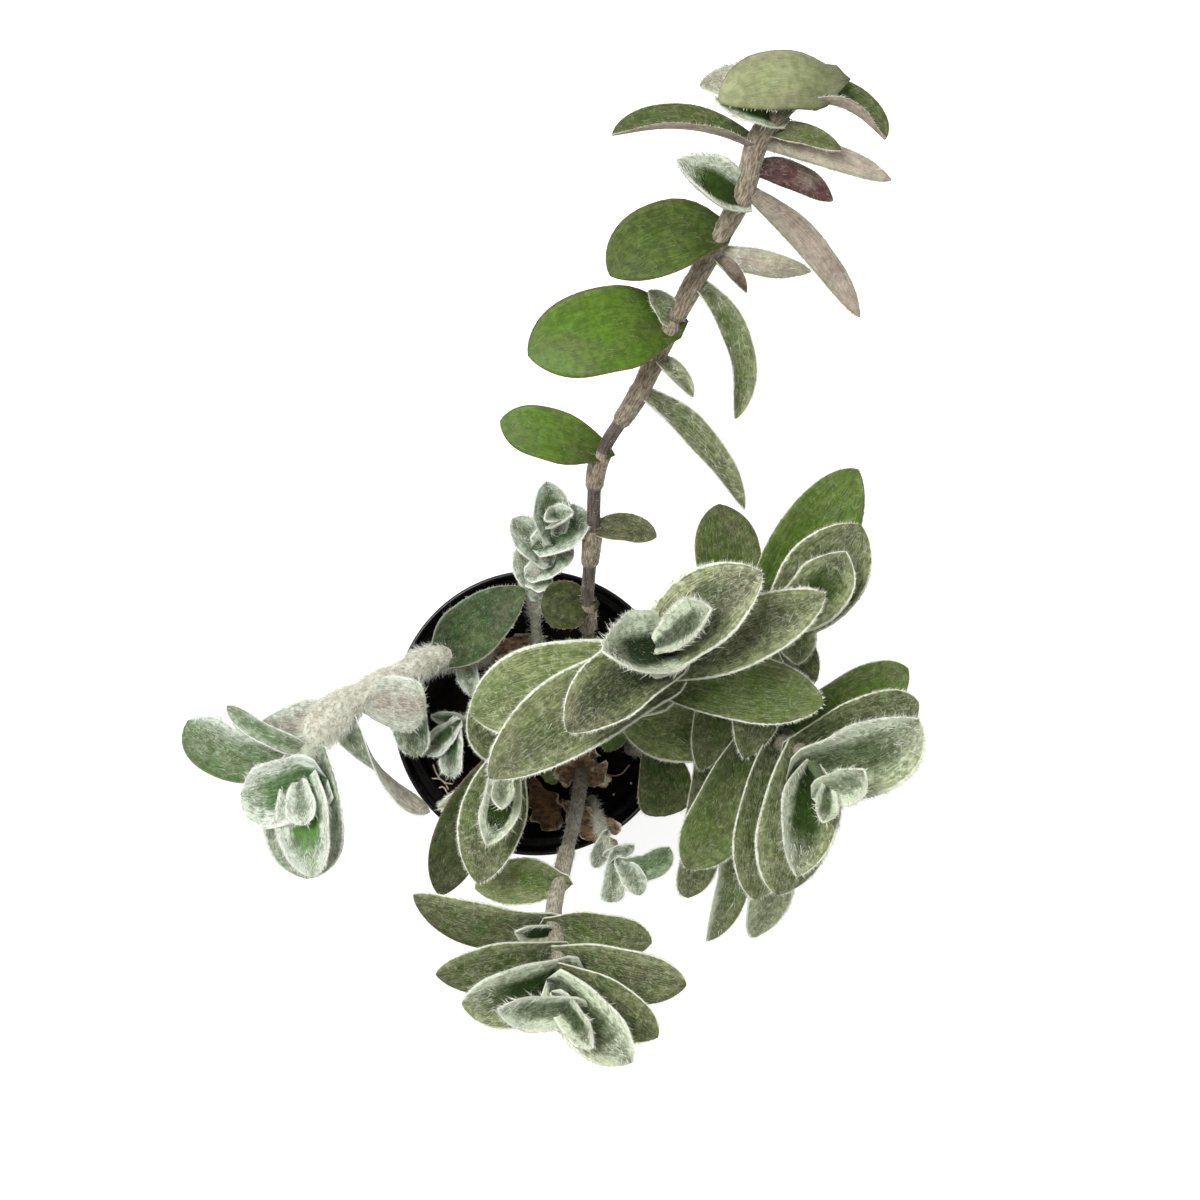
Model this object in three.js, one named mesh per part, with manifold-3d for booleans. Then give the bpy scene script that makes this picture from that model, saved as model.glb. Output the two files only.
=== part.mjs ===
// White velvet tradescantia (Tradescantia sillamontana) in a round nursery pot.
// Millimetres, +Z up. The origin is on the pot's axis, at the surface the pot stands on.
// Seen from above with +Y away from the viewer, the tall stem leans to the back right,
// the woolly sprawling shoot lies over the rim to the left and the front shoot hangs forward.

import * as THREE from "three";
import { mergeVertices } from "three/addons/utils/BufferGeometryUtils.js";
import Module from "manifold-3d";

const wasm = await Module();
wasm.setup();

// Pot: a thin tapered wall with a stepped collar under the rim.
const potHeight = 88;
const potSides = 32;
const rimRadius = 50;
const rimInnerRadius = 48.4;
const collarHeight = 10;
const collarStep = 2.6;
const baseRadius = 35;
const wallThickness = 1.5;
const floorThickness = 1.8;
const drainHoles = 6;
const drainHoleRadius = 3.2;
const drainHoleSides = 8;
const drainCircleRadius = 23;

// Soil: fills the pot to a bumpy top, 12 mm under the rim.
const soilLevel = 76;
const soilBumps = 0.9;
const soilRings = 4;

// Clearance between pieces that touch.
const gap = 0.3;

// Leaves: one blade formula for every leaf of the plant.
const bladeThickness = 1.5;
const marginThinning = 0.4;
const tipThinning = 0.3;
const tipHalfWidth = 0.45;
const longLeaf = 25;
const longLeafRows = [0, 0.2, 0.42, 0.66, 0.87, 1];
const shortLeafRows = [0, 0.3, 0.65, 1];
const wideLeaf = 18;
const wideLeafColumns = 4;
const narrowLeafColumns = 2;

// Stems: woolly sheaths thicken the bare stem below each leaf.
const stemSides = 6;
const sheathLength = 13;
const sheathLip = 1.1;
const ringSpacing = 15;
const closestRings = 1;

// A leaf: where it leaves the stem (mm along it), the compass turn and the rise of its
// base-to-tip line in degrees, its length and width, and what differs from its shoot's habit.
function leaf(at, turn, rise, length, width, form = {}) {
  return { at, turn, rise, length, width, ...form };
}

// A habit gives the usual form of a shoot's leaves:
// arch and bow bend the midrib up and sideways, as a share of the length;
// lift turns the upper face from along the stem (0) to straight up (1);
// widest is where the blade is broadest and blunt how full its tip is;
// clasp is the width at the base as a share of the full width;
// fold is how far the cross-section curls at the base and at the tip, in radians.
const shoots = {
  shoot_crown: {
    color: 0x7d8a6c,
    radius: [2.6, 1.6],
    sheath: 0.9,
    route: [[29, -2, 52], [30, 2, 80], [34, 9, 120], [39, 15, 152], [41, 21, 185], [40, 27, 200]],
    habit: { arch: 0.08, lift: 0.1, widest: 0.45, blunt: 2, clasp: 0.5, fold: [1, 0.35] },
    leaves: [
      leaf(33, 251, 18, 18, 12),
      leaf(61, 194, 24, 29, 17),
      leaf(70, 5, 25, 17, 14),
      leaf(92, 189, 15, 58, 31, { widest: 0.55, blunt: 2.4 }),
      leaf(105, 352, 14, 53, 22, { widest: 0.5, blunt: 2.6 }),
      leaf(118, 211, 14, 61, 24, { bow: -0.03 }),
      leaf(129, 25, 13, 53, 20, { bow: 0.03, widest: 0.5 }),
      leaf(138, 215, 27, 38, 20),
      leaf(145, 40, 25, 39, 22, { bow: -0.03, clasp: 0.7 }),
      leaf(149, 181, 52, 28, 17, { arch: -0.06, widest: 0.4, clasp: 0.8, fold: [1.1, 0.8] }),
      leaf(152, 46, 58, 31, 10, { arch: -0.1, clasp: 0.7, fold: [1.1, 0.8] }),
    ],
  },
  shoot_back_right: {
    color: 0x74855f,
    radius: [2.6, 1.6],
    sheath: 0.9,
    route: [[34, 14, 52], [37, 15, 80], [53, 18, 108], [66, 24, 130], [78, 31, 147], [83, 38, 160]],
    habit: { arch: 0.08, lift: 0.45, widest: 0.45, blunt: 2, clasp: 0.5, fold: [1, 0.35] },
    leaves: [
      leaf(82, 257, 12, 40, 17, { widest: 0.5 }),
      leaf(88, 98, 16, 48, 24, { bow: -0.04, widest: 0.55, blunt: 3.5 }),
      leaf(98, 260, 11, 40, 19, { widest: 0.5 }),
      leaf(104, 64, 14, 60, 26, { bow: -0.04, widest: 0.55, blunt: 2.6 }),
      leaf(109, 302, 19, 22, 13),
      leaf(112, 54, 23, 42, 27, { widest: 0.5, blunt: 2.2 }),
      leaf(116, 278, 41, 19, 15),
      leaf(120, 52, 40, 31, 20, { arch: -0.02, widest: 0.5, blunt: 2.4, clasp: 0.7, fold: [1, 0.6] }),
      leaf(122, 219, 73, 21, 11, { arch: -0.1, clasp: 0.7, fold: [1, 0.8] }),
      leaf(123, 69, 74, 24, 9, { arch: -0.1, clasp: 0.7, fold: [1, 0.8] }),
    ],
  },
  shoot_right: {
    color: 0x7b8a6e,
    radius: [2.8, 1.7],
    sheath: 0.9,
    route: [
      [33, -15, 52], [34, -13, 80], [46, -10, 104], [59, -7, 122], [75, -5, 137], [85, -8, 152],
      [90, -17, 168],
    ],
    habit: { arch: 0.08, lift: 0.55, widest: 0.45, blunt: 2.2, clasp: 0.5, fold: [1, 0.35] },
    leaves: [
      leaf(46, 278, 4, 24, 20, { arch: 0.15, widest: 0.55, blunt: 4.5 }),
      leaf(83, 170, 4, 34, 22, { arch: 0.12 }),
      leaf(74, 265, -12, 55, 15, { arch: 0.12, widest: 0.5, blunt: 5 }),
      leaf(85, 266, -18, 74, 15, { arch: 0.15, widest: 0.55, blunt: 2.6, fold: [1, 0.9] }),
      leaf(92, 245, 8, 46, 24, { arch: 0.12, widest: 0.5, blunt: 2.8, clasp: 0.4 }),
      leaf(99, 270, -20, 73, 17, { arch: 0.15, widest: 0.6, blunt: 3 }),
      leaf(103, 28, 5, 49, 21, { widest: 0.5, blunt: 3.2 }),
      leaf(107, 260, 8, 50, 26, { bow: 0.05, blunt: 2.6 }),
      leaf(115, 22, 9, 41, 21, { widest: 0.5, blunt: 3.2 }),
      leaf(117, 260, 10, 45, 26, { bow: 0.04, blunt: 2.6 }),
      leaf(125, 23, 26, 37, 28, { arch: 0, blunt: 2.8, clasp: 0.8, fold: [1, 0.5] }),
      leaf(128, 259, 26, 36, 23, { arch: 0, widest: 0.4, blunt: 2, clasp: 0.8, fold: [1, 0.6] }),
      leaf(133, 30, 63, 26, 17, { arch: -0.08, bow: 0.05, widest: 0.4, clasp: 0.9, fold: [1, 0.8] }),
      leaf(136, 256, 65, 21, 9, { arch: -0.1, bow: -0.1, clasp: 0.8, fold: [1, 0.9] }),
    ],
  },
  shoot_front: {
    color: 0x7d8a70,
    radius: [2.9, 1.7],
    sheath: 0.8,
    route: [
      [16, -19, 52], [16, -21, 78], [14, -34, 98], [10, -50, 112], [7, -64, 121], [9, -75, 129],
      [12, -83, 140], [15, -89, 152],
    ],
    habit: { arch: 0.08, lift: 0.6, widest: 0.45, blunt: 2.2, clasp: 0.5, fold: [1, 0.35] },
    leaves: [
      leaf(78, 183, 5, 28, 17, { bow: 0.09, lift: 0.9, widest: 0.4, blunt: 2.6 }),
      leaf(91, 168, 10, 47, 18, { bow: -0.07 }),
      leaf(93, 352, 12, 33, 19, { bow: -0.07, widest: 0.5, blunt: 3 }),
      leaf(95, 172, 42, 17, 6, { arch: 0, fold: [1, 0.8] }),
      leaf(102, 188, 16, 41, 19, { bow: 0.02, widest: 0.5 }),
      leaf(104, 350, 16, 43, 20, { bow: -0.04, widest: 0.5, blunt: 3 }),
      leaf(112, 191, 24, 35, 22, { bow: -0.02, blunt: 2.4, clasp: 0.8 }),
      leaf(115, 332, 15, 35, 19, { bow: -0.06, widest: 0.5, clasp: 0.8 }),
      leaf(121, 319, 27, 31, 21, { bow: -0.02, clasp: 0.8 }),
      leaf(127, 309, 62, 23, 11, { arch: -0.08, clasp: 1, fold: [1, 0.8] }),
      leaf(128, 172, 35, 28, 15, { arch: -0.02, bow: -0.02, widest: 0.4, clasp: 1, fold: [1, 0.6] }),
    ],
  },
  shoot_front_left: {
    color: 0x7f8d74,
    radius: [2.4, 1.5],
    sheath: 0.8,
    route: [[-3, -15, 52], [-2, -13, 80], [-5, -12, 105], [-8, -13, 128], [-8, -15, 144]],
    habit: { arch: 0.08, lift: 0.3, widest: 0.45, blunt: 2, clasp: 0.5, fold: [1, 0.4] },
    leaves: [
      leaf(38, 212, 7, 38, 11, { widest: 0.6, blunt: 3 }),
      leaf(45, 240, 7, 57, 20, { bow: 0.03, widest: 0.5, blunt: 2.6 }),
      leaf(56, 63, 31, 24, 15),
      leaf(65, 119, 34, 28, 19),
      leaf(75, 257, 16, 41, 23),
      leaf(83, 55, 41, 21, 16),
      leaf(88, 258, 36, 28, 15, { arch: -0.02, bow: -0.05, clasp: 0.8, fold: [1, 0.6] }),
      leaf(92, 272, 63, 21, 7, { arch: -0.1, clasp: 0.7, fold: [1, 0.9] }),
      leaf(92, 107, 78, 21, 8, { arch: -0.1, clasp: 0.7, fold: [1, 0.9] }),
    ],
  },
  shoot_left: {
    color: 0x9aa690,
    radius: [3.4, 1.8],
    sheath: 0.9,
    route: [
      [-20, 20, 56], [-21, 21, 82], [-33, 20, 97], [-46, 14, 103], [-62, 5, 107], [-72, -4, 111],
      [-76, -14, 116], [-78, -23, 124],
    ],
    habit: { arch: 0.08, lift: 0.5, widest: 0.45, blunt: 2, clasp: 0.5, fold: [1, 0.4] },
    leaves: [
      leaf(32, 274, -4, 15, 9),
      leaf(44, 39, 15, 38, 22, { lift: 0.8, widest: 0.35 }),
      leaf(57, 272, -11, 31, 14, { lift: 0.8, widest: 0.55, blunt: 3 }),
      leaf(77, 352, 16, 25, 19, { arch: 0.05, lift: 0.8, widest: 0.6, blunt: 4, fold: [-0.6, -0.3] }),
      leaf(85, 310, -10, 47, 9, {
        arch: 0.02, bow: 0.07, twist: 60, lift: 0.8, widest: 0.6, blunt: 3, fold: [1, 0.8],
      }),
      leaf(90, 172, 21, 35, 13, {
        arch: 0.02, bow: -0.06, lift: 0.9, widest: 0.3, blunt: 1.6, clasp: 0.9, fold: [-0.7, -0.4],
      }),
      leaf(100, 174, 9, 43, 15, { bow: -0.04, lift: 0.8, widest: 0.55, blunt: 4 }),
      leaf(101, 268, -5, 45, 29, { lift: 0.9, widest: 0.5, blunt: 2.6 }),
      leaf(108, 196, 30, 22, 20, { lift: 0.6, widest: 0.3, blunt: 4, clasp: 1, fold: [0.8, 0.4] }),
      leaf(110, 273, 9, 35, 18, { lift: 0.8, blunt: 2.4, fold: [1, 0.7] }),
      leaf(118, 267, 64, 14, 9, { lift: 0.6, fold: [1, 0.9] }),
    ],
  },
  shoot_small: {
    color: 0x93a48f,
    radius: [2.2, 1.3],
    sheath: 0.6,
    route: [[0, 21, 56], [0, 25, 80], [0, 41, 98], [2, 52, 112], [6, 61, 122], [8, 66, 130]],
    habit: { arch: 0.05, lift: 0.6, widest: 0.45, blunt: 2, clasp: 0.6, fold: [1, 0.5] },
    leaves: [
      leaf(52, 110, 23, 17, 9),
      leaf(56, 0, 35, 7, 9),
      leaf(62, 32, 24, 16, 9),
      leaf(70, 130, 25, 18, 11),
      leaf(77, 35, 34, 18, 12),
      leaf(83, 95, 43, 21, 11),
      leaf(88, 21, 63, 15, 8, { fold: [1, 0.9] }),
    ],
  },
  shoot_tall: {
    color: 0x6d8a45,
    radius: [2.2, 2.2],
    sheath: 1.3,
    route: [
      [19, 13, 52], [19, 18, 80], [18, 38, 108], [20, 62, 127], [22, 84, 140], [34, 103, 154],
      [43, 121, 164], [53, 139, 174], [64, 158, 187], [68, 172, 195], [75, 179, 201], [86, 184, 205],
    ],
    habit: { arch: 0.08, lift: 0.5, widest: 0.42, blunt: 2.2, clasp: 0.4, fold: [0.9, 0.35] },
    leaves: [
      leaf(63, 182, 15, 16, 17, { lift: 0.9, blunt: 4 }),
      leaf(94, 354, 5, 21, 10, { bow: -0.08, lift: 0.8, blunt: 3 }),
      leaf(123, 164, 10, 34, 17, { lift: 1, widest: 0.45, blunt: 3.4, fold: [0.9, 0.2] }),
      leaf(148, 313, -15, 51, 12, { arch: 0, bow: -0.08, lift: 0.8, fold: [1.2, 1.2] }),
      leaf(160, 312, 9, 17, 8, { fold: [0.9, 0.8] }),
      leaf(171, 193, 9, 45, 27, { bow: 0.04, lift: 1, widest: 0.38, blunt: 3.2, fold: [0.9, 0.2] }),
      leaf(172, 131, 36, 14, 9, { lift: 0.8, fold: [0.9, 0.8] }),
      leaf(187, 288, -16, 44, 11, { bow: -0.14, lift: 0.8, blunt: 3, fold: [1.2, 1.2] }),
      leaf(197, 302, -3, 16, 6, { lift: 0.6, fold: [0.9, 0.9] }),
      leaf(197, 351, -9, 31, 9, { roll: 70, lift: 0.3, fold: [-0.8, -0.6] }),
      leaf(203, 202, 10, 36, 22, { bow: 0.06, lift: 1, blunt: 3, fold: [0.9, 0.2] }),
      leaf(214, 155, 30, 25, 17, { bow: -0.1, lift: 0.7, clasp: 0.7, fold: [0.9, 0.8] }),
      leaf(219, 314, -11, 51, 10, { bow: -0.05, lift: 0.8, blunt: 3, fold: [-1, -0.7] }),
      leaf(225, 342, -15, 27, 10, { bow: -0.1, lift: 0.8, blunt: 3, fold: [-0.9, -0.7] }),
      leaf(231, 178, 11, 42, 12, { bow: 0.07, lift: 0.9, widest: 0.5, fold: [0.9, 0.5] }),
      leaf(233, 346, -9, 41, 9, { bow: -0.03, lift: 0.8, blunt: 3, fold: [-0.9, -0.7] }),
      leaf(236, 345, 7, 23, 7, { bow: -0.04, lift: 0.8 }),
      leaf(241, 173, 33, 21, 11, { lift: 0.8, clasp: 0.7 }),
      leaf(245, 164, -2, 25, 12, { bow: 0.12, lift: 0.9 }),
      leaf(250, 337, -6, 27, 16, { bow: -0.2, lift: 0.8, fold: [0.9, 0.9] }),
      leaf(258, 192, 13, 32, 18, { bow: 0.12, lift: 1, widest: 0.4, clasp: 0.8, fold: [-0.5, -0.5] }),
    ],
  },
  sprig_front: {
    color: 0x7f9a7a,
    radius: [1.6, 1.1],
    sheath: 0.4,
    route: [[19, -32, 56], [20, -32, 82], [23, -40, 98], [26, -46, 103], [30, -51, 106]],
    habit: { arch: 0.05, lift: 0.6, widest: 0.45, blunt: 2, clasp: 0.6, fold: [1, 0.5] },
    leaves: [
      leaf(47, 253, -1, 11, 7),
      leaf(53, 20, 33, 10, 6),
      leaf(55, 267, -4, 16, 8, { blunt: 3 }),
      leaf(57, 22, 17, 20, 12, { bow: 0.08 }),
      leaf(59, 302, 6, 12, 8),
    ],
  },
  sprout_left: {
    color: 0xa3b09e,
    radius: [1.7, 1.3],
    sheath: 0.4,
    route: [[-25, -5, 56], [-24, -4, 80], [-27, -3, 88], [-29, -5, 92]],
    habit: { arch: 0.05, lift: 0.6, widest: 0.45, blunt: 2, clasp: 0.6, fold: [1, 0.5] },
    leaves: [
      leaf(30, 167, 36, 13, 6),
      leaf(35, 262, -6, 19, 8),
      leaf(36, 221, 5, 14, 8),
    ],
  },
};

// Dead leaves at the stem bases: each is one curled blade or a few that hang together.
// A blade starts at its base point and is otherwise shaped as a living leaf is.
function dryBlade(from, turn, rise, length, width, form) {
  return { from, ...leaf(0, turn, rise, length, width, form) };
}

const dryHabit = { arch: 0.1, lift: 1, widest: 0.45, blunt: 4, clasp: 0.6, fold: [1, 0.8] };
const sheathHabit = { arch: -0.1, clasp: 0.8, fold: [1.3, 0.9] };
const frontShootFoot = [16, -19, 78.4];

const dryLeaves = {
  dry_leaf_dark: {
    color: 0x3a2a1c,
    blades: [
      dryBlade([-1, -27, 77.6], 298, 2, 17, 12, { arch: 0.12, clasp: 0.5, fold: [-0.8, -0.5] }),
    ],
  },
  dry_leaf_tan: {
    color: 0x8a7358,
    around: "sprig_front",
    blades: [
      dryBlade([12, -33, 87], 318, 11, 22, 10, { blunt: 3, fold: [1.1, 0.9] }),
      dryBlade([14, -34.5, 87.5], 338, 8, 17, 7, { arch: 0.12, fold: [1.2, 1.2] }),
    ],
  },
  dry_sheath_front: {
    color: 0x7b6248,
    around: "shoot_front",
    blades: [
      dryBlade(frontShootFoot, 200, 40, 13, 12, sheathHabit),
      dryBlade(frontShootFoot, 80, 48, 14, 12, sheathHabit),
      dryBlade(frontShootFoot, 330, 42, 14, 11, sheathHabit),
    ],
  },
  dry_leaf_back: {
    color: 0x7a6355,
    blades: [
      dryBlade([-4, 25, 77.8], 208, 8, 12, 9, { arch: 0.15, fold: [-1, -0.8] }),
    ],
  },
  fallen_scrap: {
    color: 0xa8ab74,
    blades: [
      dryBlade([2, -21, 77.4], 320, 3, 7, 5, { blunt: 3, fold: [-0.6, -0.4] }),
    ],
  },
};

const up = new THREE.Vector3(0, 0, 1);

function direction(turn, rise) {
  const azimuth = THREE.MathUtils.degToRad(turn);
  const elevation = THREE.MathUtils.degToRad(rise);
  return new THREE.Vector3(
    Math.cos(azimuth) * Math.cos(elevation),
    Math.sin(azimuth) * Math.cos(elevation),
    Math.sin(elevation),
  );
}

// Width of a blade along its length: from the clasping base, up to 1 at the widest place,
// down to 0 at the tip.
function outline(t, form) {
  if (t < form.widest) {
    return form.clasp + (1 - form.clasp) * Math.sin((Math.PI / 2) * (t / form.widest));
  }
  return 1 - Math.pow((t - form.widest) / (1 - form.widest), form.blunt);
}

// A leaf blade as a closed solid: rows of points on its upper and lower faces.
// The cross-section is an arc, so a fold above 0 makes a boat and below 0 a saddle.
function bladeGeometry(base, tangent, form) {
  const along = direction(form.turn, form.rise);
  const face = tangent.clone().multiplyScalar(1 - form.lift).addScaledVector(up, form.lift);
  face.addScaledVector(along, -face.dot(along)).normalize();
  face.applyAxisAngle(along, THREE.MathUtils.degToRad(form.roll ?? 0));
  const across = along.clone().cross(face);
  const bow = form.bow ?? 0;
  const twist = THREE.MathUtils.degToRad(form.twist ?? 0);
  const rows = form.length < longLeaf ? shortLeafRows : longLeafRows;
  const columns = form.width < wideLeaf ? narrowLeafColumns : wideLeafColumns;
  const positions = [];
  for (const t of rows) {
    const bump = 4 * t * (1 - t) * form.length;
    const slope = 4 * (1 - 2 * t);
    const middle = base.clone().addScaledVector(along, form.length * t);
    middle.addScaledVector(face, form.arch * bump).addScaledVector(across, bow * bump);
    const ahead = along.clone().addScaledVector(face, form.arch * slope);
    ahead.addScaledVector(across, bow * slope).normalize();
    const top = face.clone().applyAxisAngle(ahead, twist * t);
    top.addScaledVector(ahead, -top.dot(ahead)).normalize();
    const side = ahead.clone().cross(top);
    const half = Math.max((form.width / 2) * outline(t, form), tipHalfWidth);
    const curl = form.fold[1] + (form.fold[0] - form.fold[1]) * Math.pow(1 - t, 1.5);
    const radius = half / curl;
    for (const facing of [1, -1]) {
      for (let j = 0; j <= columns; j += 1) {
        const u = -1 + (2 * j) / columns;
        const angle = u * curl;
        const thickness = bladeThickness * (1 - marginThinning * u * u) * (1 - tipThinning * t);
        const point = middle.clone().addScaledVector(side, radius * Math.sin(angle));
        point.addScaledVector(top, radius * (1 - Math.cos(angle)));
        point.addScaledVector(top, (facing * thickness * Math.cos(angle)) / 2);
        point.addScaledVector(side, (-facing * thickness * Math.sin(angle)) / 2);
        positions.push(point.x, point.y, point.z);
      }
    }
  }
  return closedGeometry(positions, bladeFaces(rows.length - 1, columns));
}

// Triangles of a blade: both faces are split along the same diagonals.
function bladeFaces(rows, columns) {
  const index = [];
  const at = (row, facing, column) => (row * 2 + facing) * (columns + 1) + column;
  const quad = (a, b, c, d) => index.push(a, b, c, a, c, d);
  for (let i = 0; i < rows; i += 1) {
    for (let j = 0; j < columns; j += 1) {
      quad(at(i, 0, j), at(i, 0, j + 1), at(i + 1, 0, j + 1), at(i + 1, 0, j));
      index.push(at(i, 1, j), at(i + 1, 1, j + 1), at(i, 1, j + 1));
      index.push(at(i, 1, j), at(i + 1, 1, j), at(i + 1, 1, j + 1));
    }
    quad(at(i, 0, 0), at(i + 1, 0, 0), at(i + 1, 1, 0), at(i, 1, 0));
    quad(at(i, 0, columns), at(i, 1, columns), at(i + 1, 1, columns), at(i + 1, 0, columns));
  }
  for (let j = 0; j < columns; j += 1) {
    quad(at(0, 0, j), at(0, 1, j), at(0, 1, j + 1), at(0, 0, j + 1));
    quad(at(rows, 0, j), at(rows, 0, j + 1), at(rows, 1, j + 1), at(rows, 1, j));
  }
  return index;
}

function closedGeometry(positions, index) {
  const geometry = new THREE.BufferGeometry();
  geometry.setAttribute("position", new THREE.Float32BufferAttribute(positions, 3));
  geometry.setIndex(index);
  return geometry;
}

function stemCurve(shoot) {
  const points = shoot.route.map((place) => new THREE.Vector3(...place));
  const curve = new THREE.CatmullRomCurve3(points, false, "centripetal");
  curve.arcLengthDivisions = 400;
  return curve;
}

function isSheathed(shoot, distance) {
  return shoot.leaves.some(({ at }) => distance > at - sheathLength && distance <= at);
}

// Stem radius at a distance along it: bare stem, thicker inside the sheath of each leaf.
function stemRadius(shoot, distance, total) {
  const bare = THREE.MathUtils.lerp(shoot.radius[0], shoot.radius[1], distance / total);
  return isSheathed(shoot, distance) ? bare + shoot.sheath : bare;
}

// Distances of the rings of a stem: both ends, two where a run of sheaths starts or stops
// and one every so often between.
function ringPlaces(shoot, total) {
  const wanted = [];
  for (const { at } of shoot.leaves) {
    for (const edge of [at - sheathLength, at]) {
      if (isSheathed(shoot, edge) !== isSheathed(shoot, edge + sheathLip)) {
        wanted.push(edge, edge + sheathLip);
      }
    }
  }
  const edges = [...wanted];
  for (let distance = ringSpacing; distance < total; distance += ringSpacing) {
    if (edges.every((edge) => Math.abs(edge - distance) > ringSpacing / 3)) {
      wanted.push(distance);
    }
  }
  wanted.sort((a, b) => a - b);
  const places = [0];
  for (const distance of wanted) {
    if (distance - places.at(-1) > closestRings && total - distance > closestRings) {
      places.push(distance);
    }
  }
  places.push(total);
  return places;
}

// A stem as a closed tube of rings; clearance widens it and lengthens its foot.
function stemGeometry(shoot, clearance = 0) {
  const curve = stemCurve(shoot);
  const total = curve.getLength();
  const places = ringPlaces(shoot, total);
  const positions = [];
  const index = [];
  const normal = new THREE.Vector3(1, 0, 0);
  places.forEach((distance, ring) => {
    const tangent = curve.getTangentAt(distance / total);
    const centre = curve.getPointAt(distance / total);
    if (ring === 0) {
      centre.addScaledVector(tangent, -clearance);
    }
    normal.addScaledVector(tangent, -normal.dot(tangent)).normalize();
    const binormal = tangent.clone().cross(normal);
    const radius = stemRadius(shoot, distance, total) + clearance;
    for (let side = 0; side < stemSides; side += 1) {
      const angle = (2 * Math.PI * side) / stemSides;
      const point = centre.clone().addScaledVector(normal, radius * Math.cos(angle));
      point.addScaledVector(binormal, radius * Math.sin(angle));
      positions.push(point.x, point.y, point.z);
    }
  });
  const last = (places.length - 1) * stemSides;
  for (let ring = 0; ring < last; ring += stemSides) {
    for (let side = 0; side < stemSides; side += 1) {
      const next = (side + 1) % stemSides;
      index.push(ring + side, ring + next, ring + stemSides + next);
      index.push(ring + side, ring + stemSides + next, ring + stemSides + side);
    }
  }
  for (let side = 1; side < stemSides - 1; side += 1) {
    index.push(0, side + 1, side);
    index.push(last, last + side, last + side + 1);
  }
  return closedGeometry(positions, index);
}

function toSolid(geometry) {
  const bare = geometry.clone();
  bare.deleteAttribute("normal");
  bare.deleteAttribute("uv");
  const merged = mergeVertices(bare);
  const vertProperties = Float32Array.from(merged.attributes.position.array);
  const triVerts = Uint32Array.from(merged.index.array);
  return new wasm.Manifold(new wasm.Mesh({ numProp: 3, vertProperties, triVerts }));
}

// The outer body of a solid: loose scraps and sealed hollows left by a join are dropped.
function outerBody(solid) {
  const bodies = solid.decompose();
  return bodies.reduce((largest, body) => (body.volume() > largest.volume() ? body : largest));
}

function toGeometry(solid) {
  const { vertProperties, triVerts } = solid.getMesh();
  const geometry = closedGeometry(Array.from(vertProperties), Array.from(triVerts));
  geometry.computeVertexNormals();
  return geometry;
}

function namedMesh(name, solid, color, roughness) {
  const material = new THREE.MeshStandardMaterial({ color, roughness, metalness: 0 });
  const mesh = new THREE.Mesh(toGeometry(solid), material);
  mesh.name = name;
  return mesh;
}

// A shoot: its stem with every leaf sunk to the stem's axis, in one solid.
function shootSolid(shoot) {
  const curve = stemCurve(shoot);
  const total = curve.getLength();
  let solid = toSolid(stemGeometry(shoot));
  for (const item of shoot.leaves) {
    const share = Math.min(1, item.at / total);
    const form = { ...shoot.habit, ...item };
    solid = solid.add(toSolid(bladeGeometry(curve.getPointAt(share), curve.getTangentAt(share), form)));
  }
  return outerBody(solid);
}

function drySolid(piece) {
  const blades = piece.blades.map((blade) =>
    toSolid(bladeGeometry(new THREE.Vector3(...blade.from), up, { ...dryHabit, ...blade })),
  );
  let solid = blades.reduce((joined, blade) => joined.add(blade));
  if (piece.around) {
    solid = solid.subtract(toSolid(stemGeometry(shoots[piece.around], gap)));
  }
  return outerBody(solid);
}

// Radius of the pot's inner wall at a height.
function innerRadius(height) {
  const top = rimRadius - collarStep - wallThickness;
  return THREE.MathUtils.mapLinear(height, 0, potHeight, baseRadius - wallThickness, top);
}

function outerRadius(height) {
  return innerRadius(height) + wallThickness;
}

function latheSolid(profile) {
  const points = profile.map(([radius, height]) => new THREE.Vector2(radius, height));
  const geometry = new THREE.LatheGeometry(points, potSides);
  geometry.rotateX(Math.PI / 2);
  return toSolid(geometry);
}

function potSolid() {
  const collarFoot = potHeight - collarHeight;
  const profile = [
    [0, 0],
    [baseRadius, 0],
    [outerRadius(collarFoot), collarFoot],
    [rimRadius - 1, collarFoot],
    [rimRadius, potHeight - 1],
    [rimRadius - 0.4, potHeight],
    [rimInnerRadius, potHeight],
    [rimInnerRadius - 0.6, collarFoot + 2.4],
    [innerRadius(collarFoot - 1), collarFoot - 1],
    [innerRadius(floorThickness), floorThickness],
    [0, floorThickness],
  ];
  let solid = latheSolid(profile);
  for (let i = 0; i < drainHoles; i += 1) {
    const angle = (2 * Math.PI * i) / drainHoles;
    const depth = 3 * floorThickness;
    const cutter = new THREE.CylinderGeometry(drainHoleRadius, drainHoleRadius, depth, drainHoleSides);
    cutter.rotateX(Math.PI / 2);
    cutter.translate(drainCircleRadius * Math.cos(angle), drainCircleRadius * Math.sin(angle), 0);
    solid = solid.subtract(toSolid(cutter));
  }
  return solid;
}

// Height of the soil's bumpy top.
function soilTop(x, y) {
  const waves = Math.sin(0.31 * x + 1.2) * Math.cos(0.27 * y) + 0.6 * Math.sin(0.53 * x - 0.47 * y);
  return soilLevel + soilBumps * waves;
}

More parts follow.
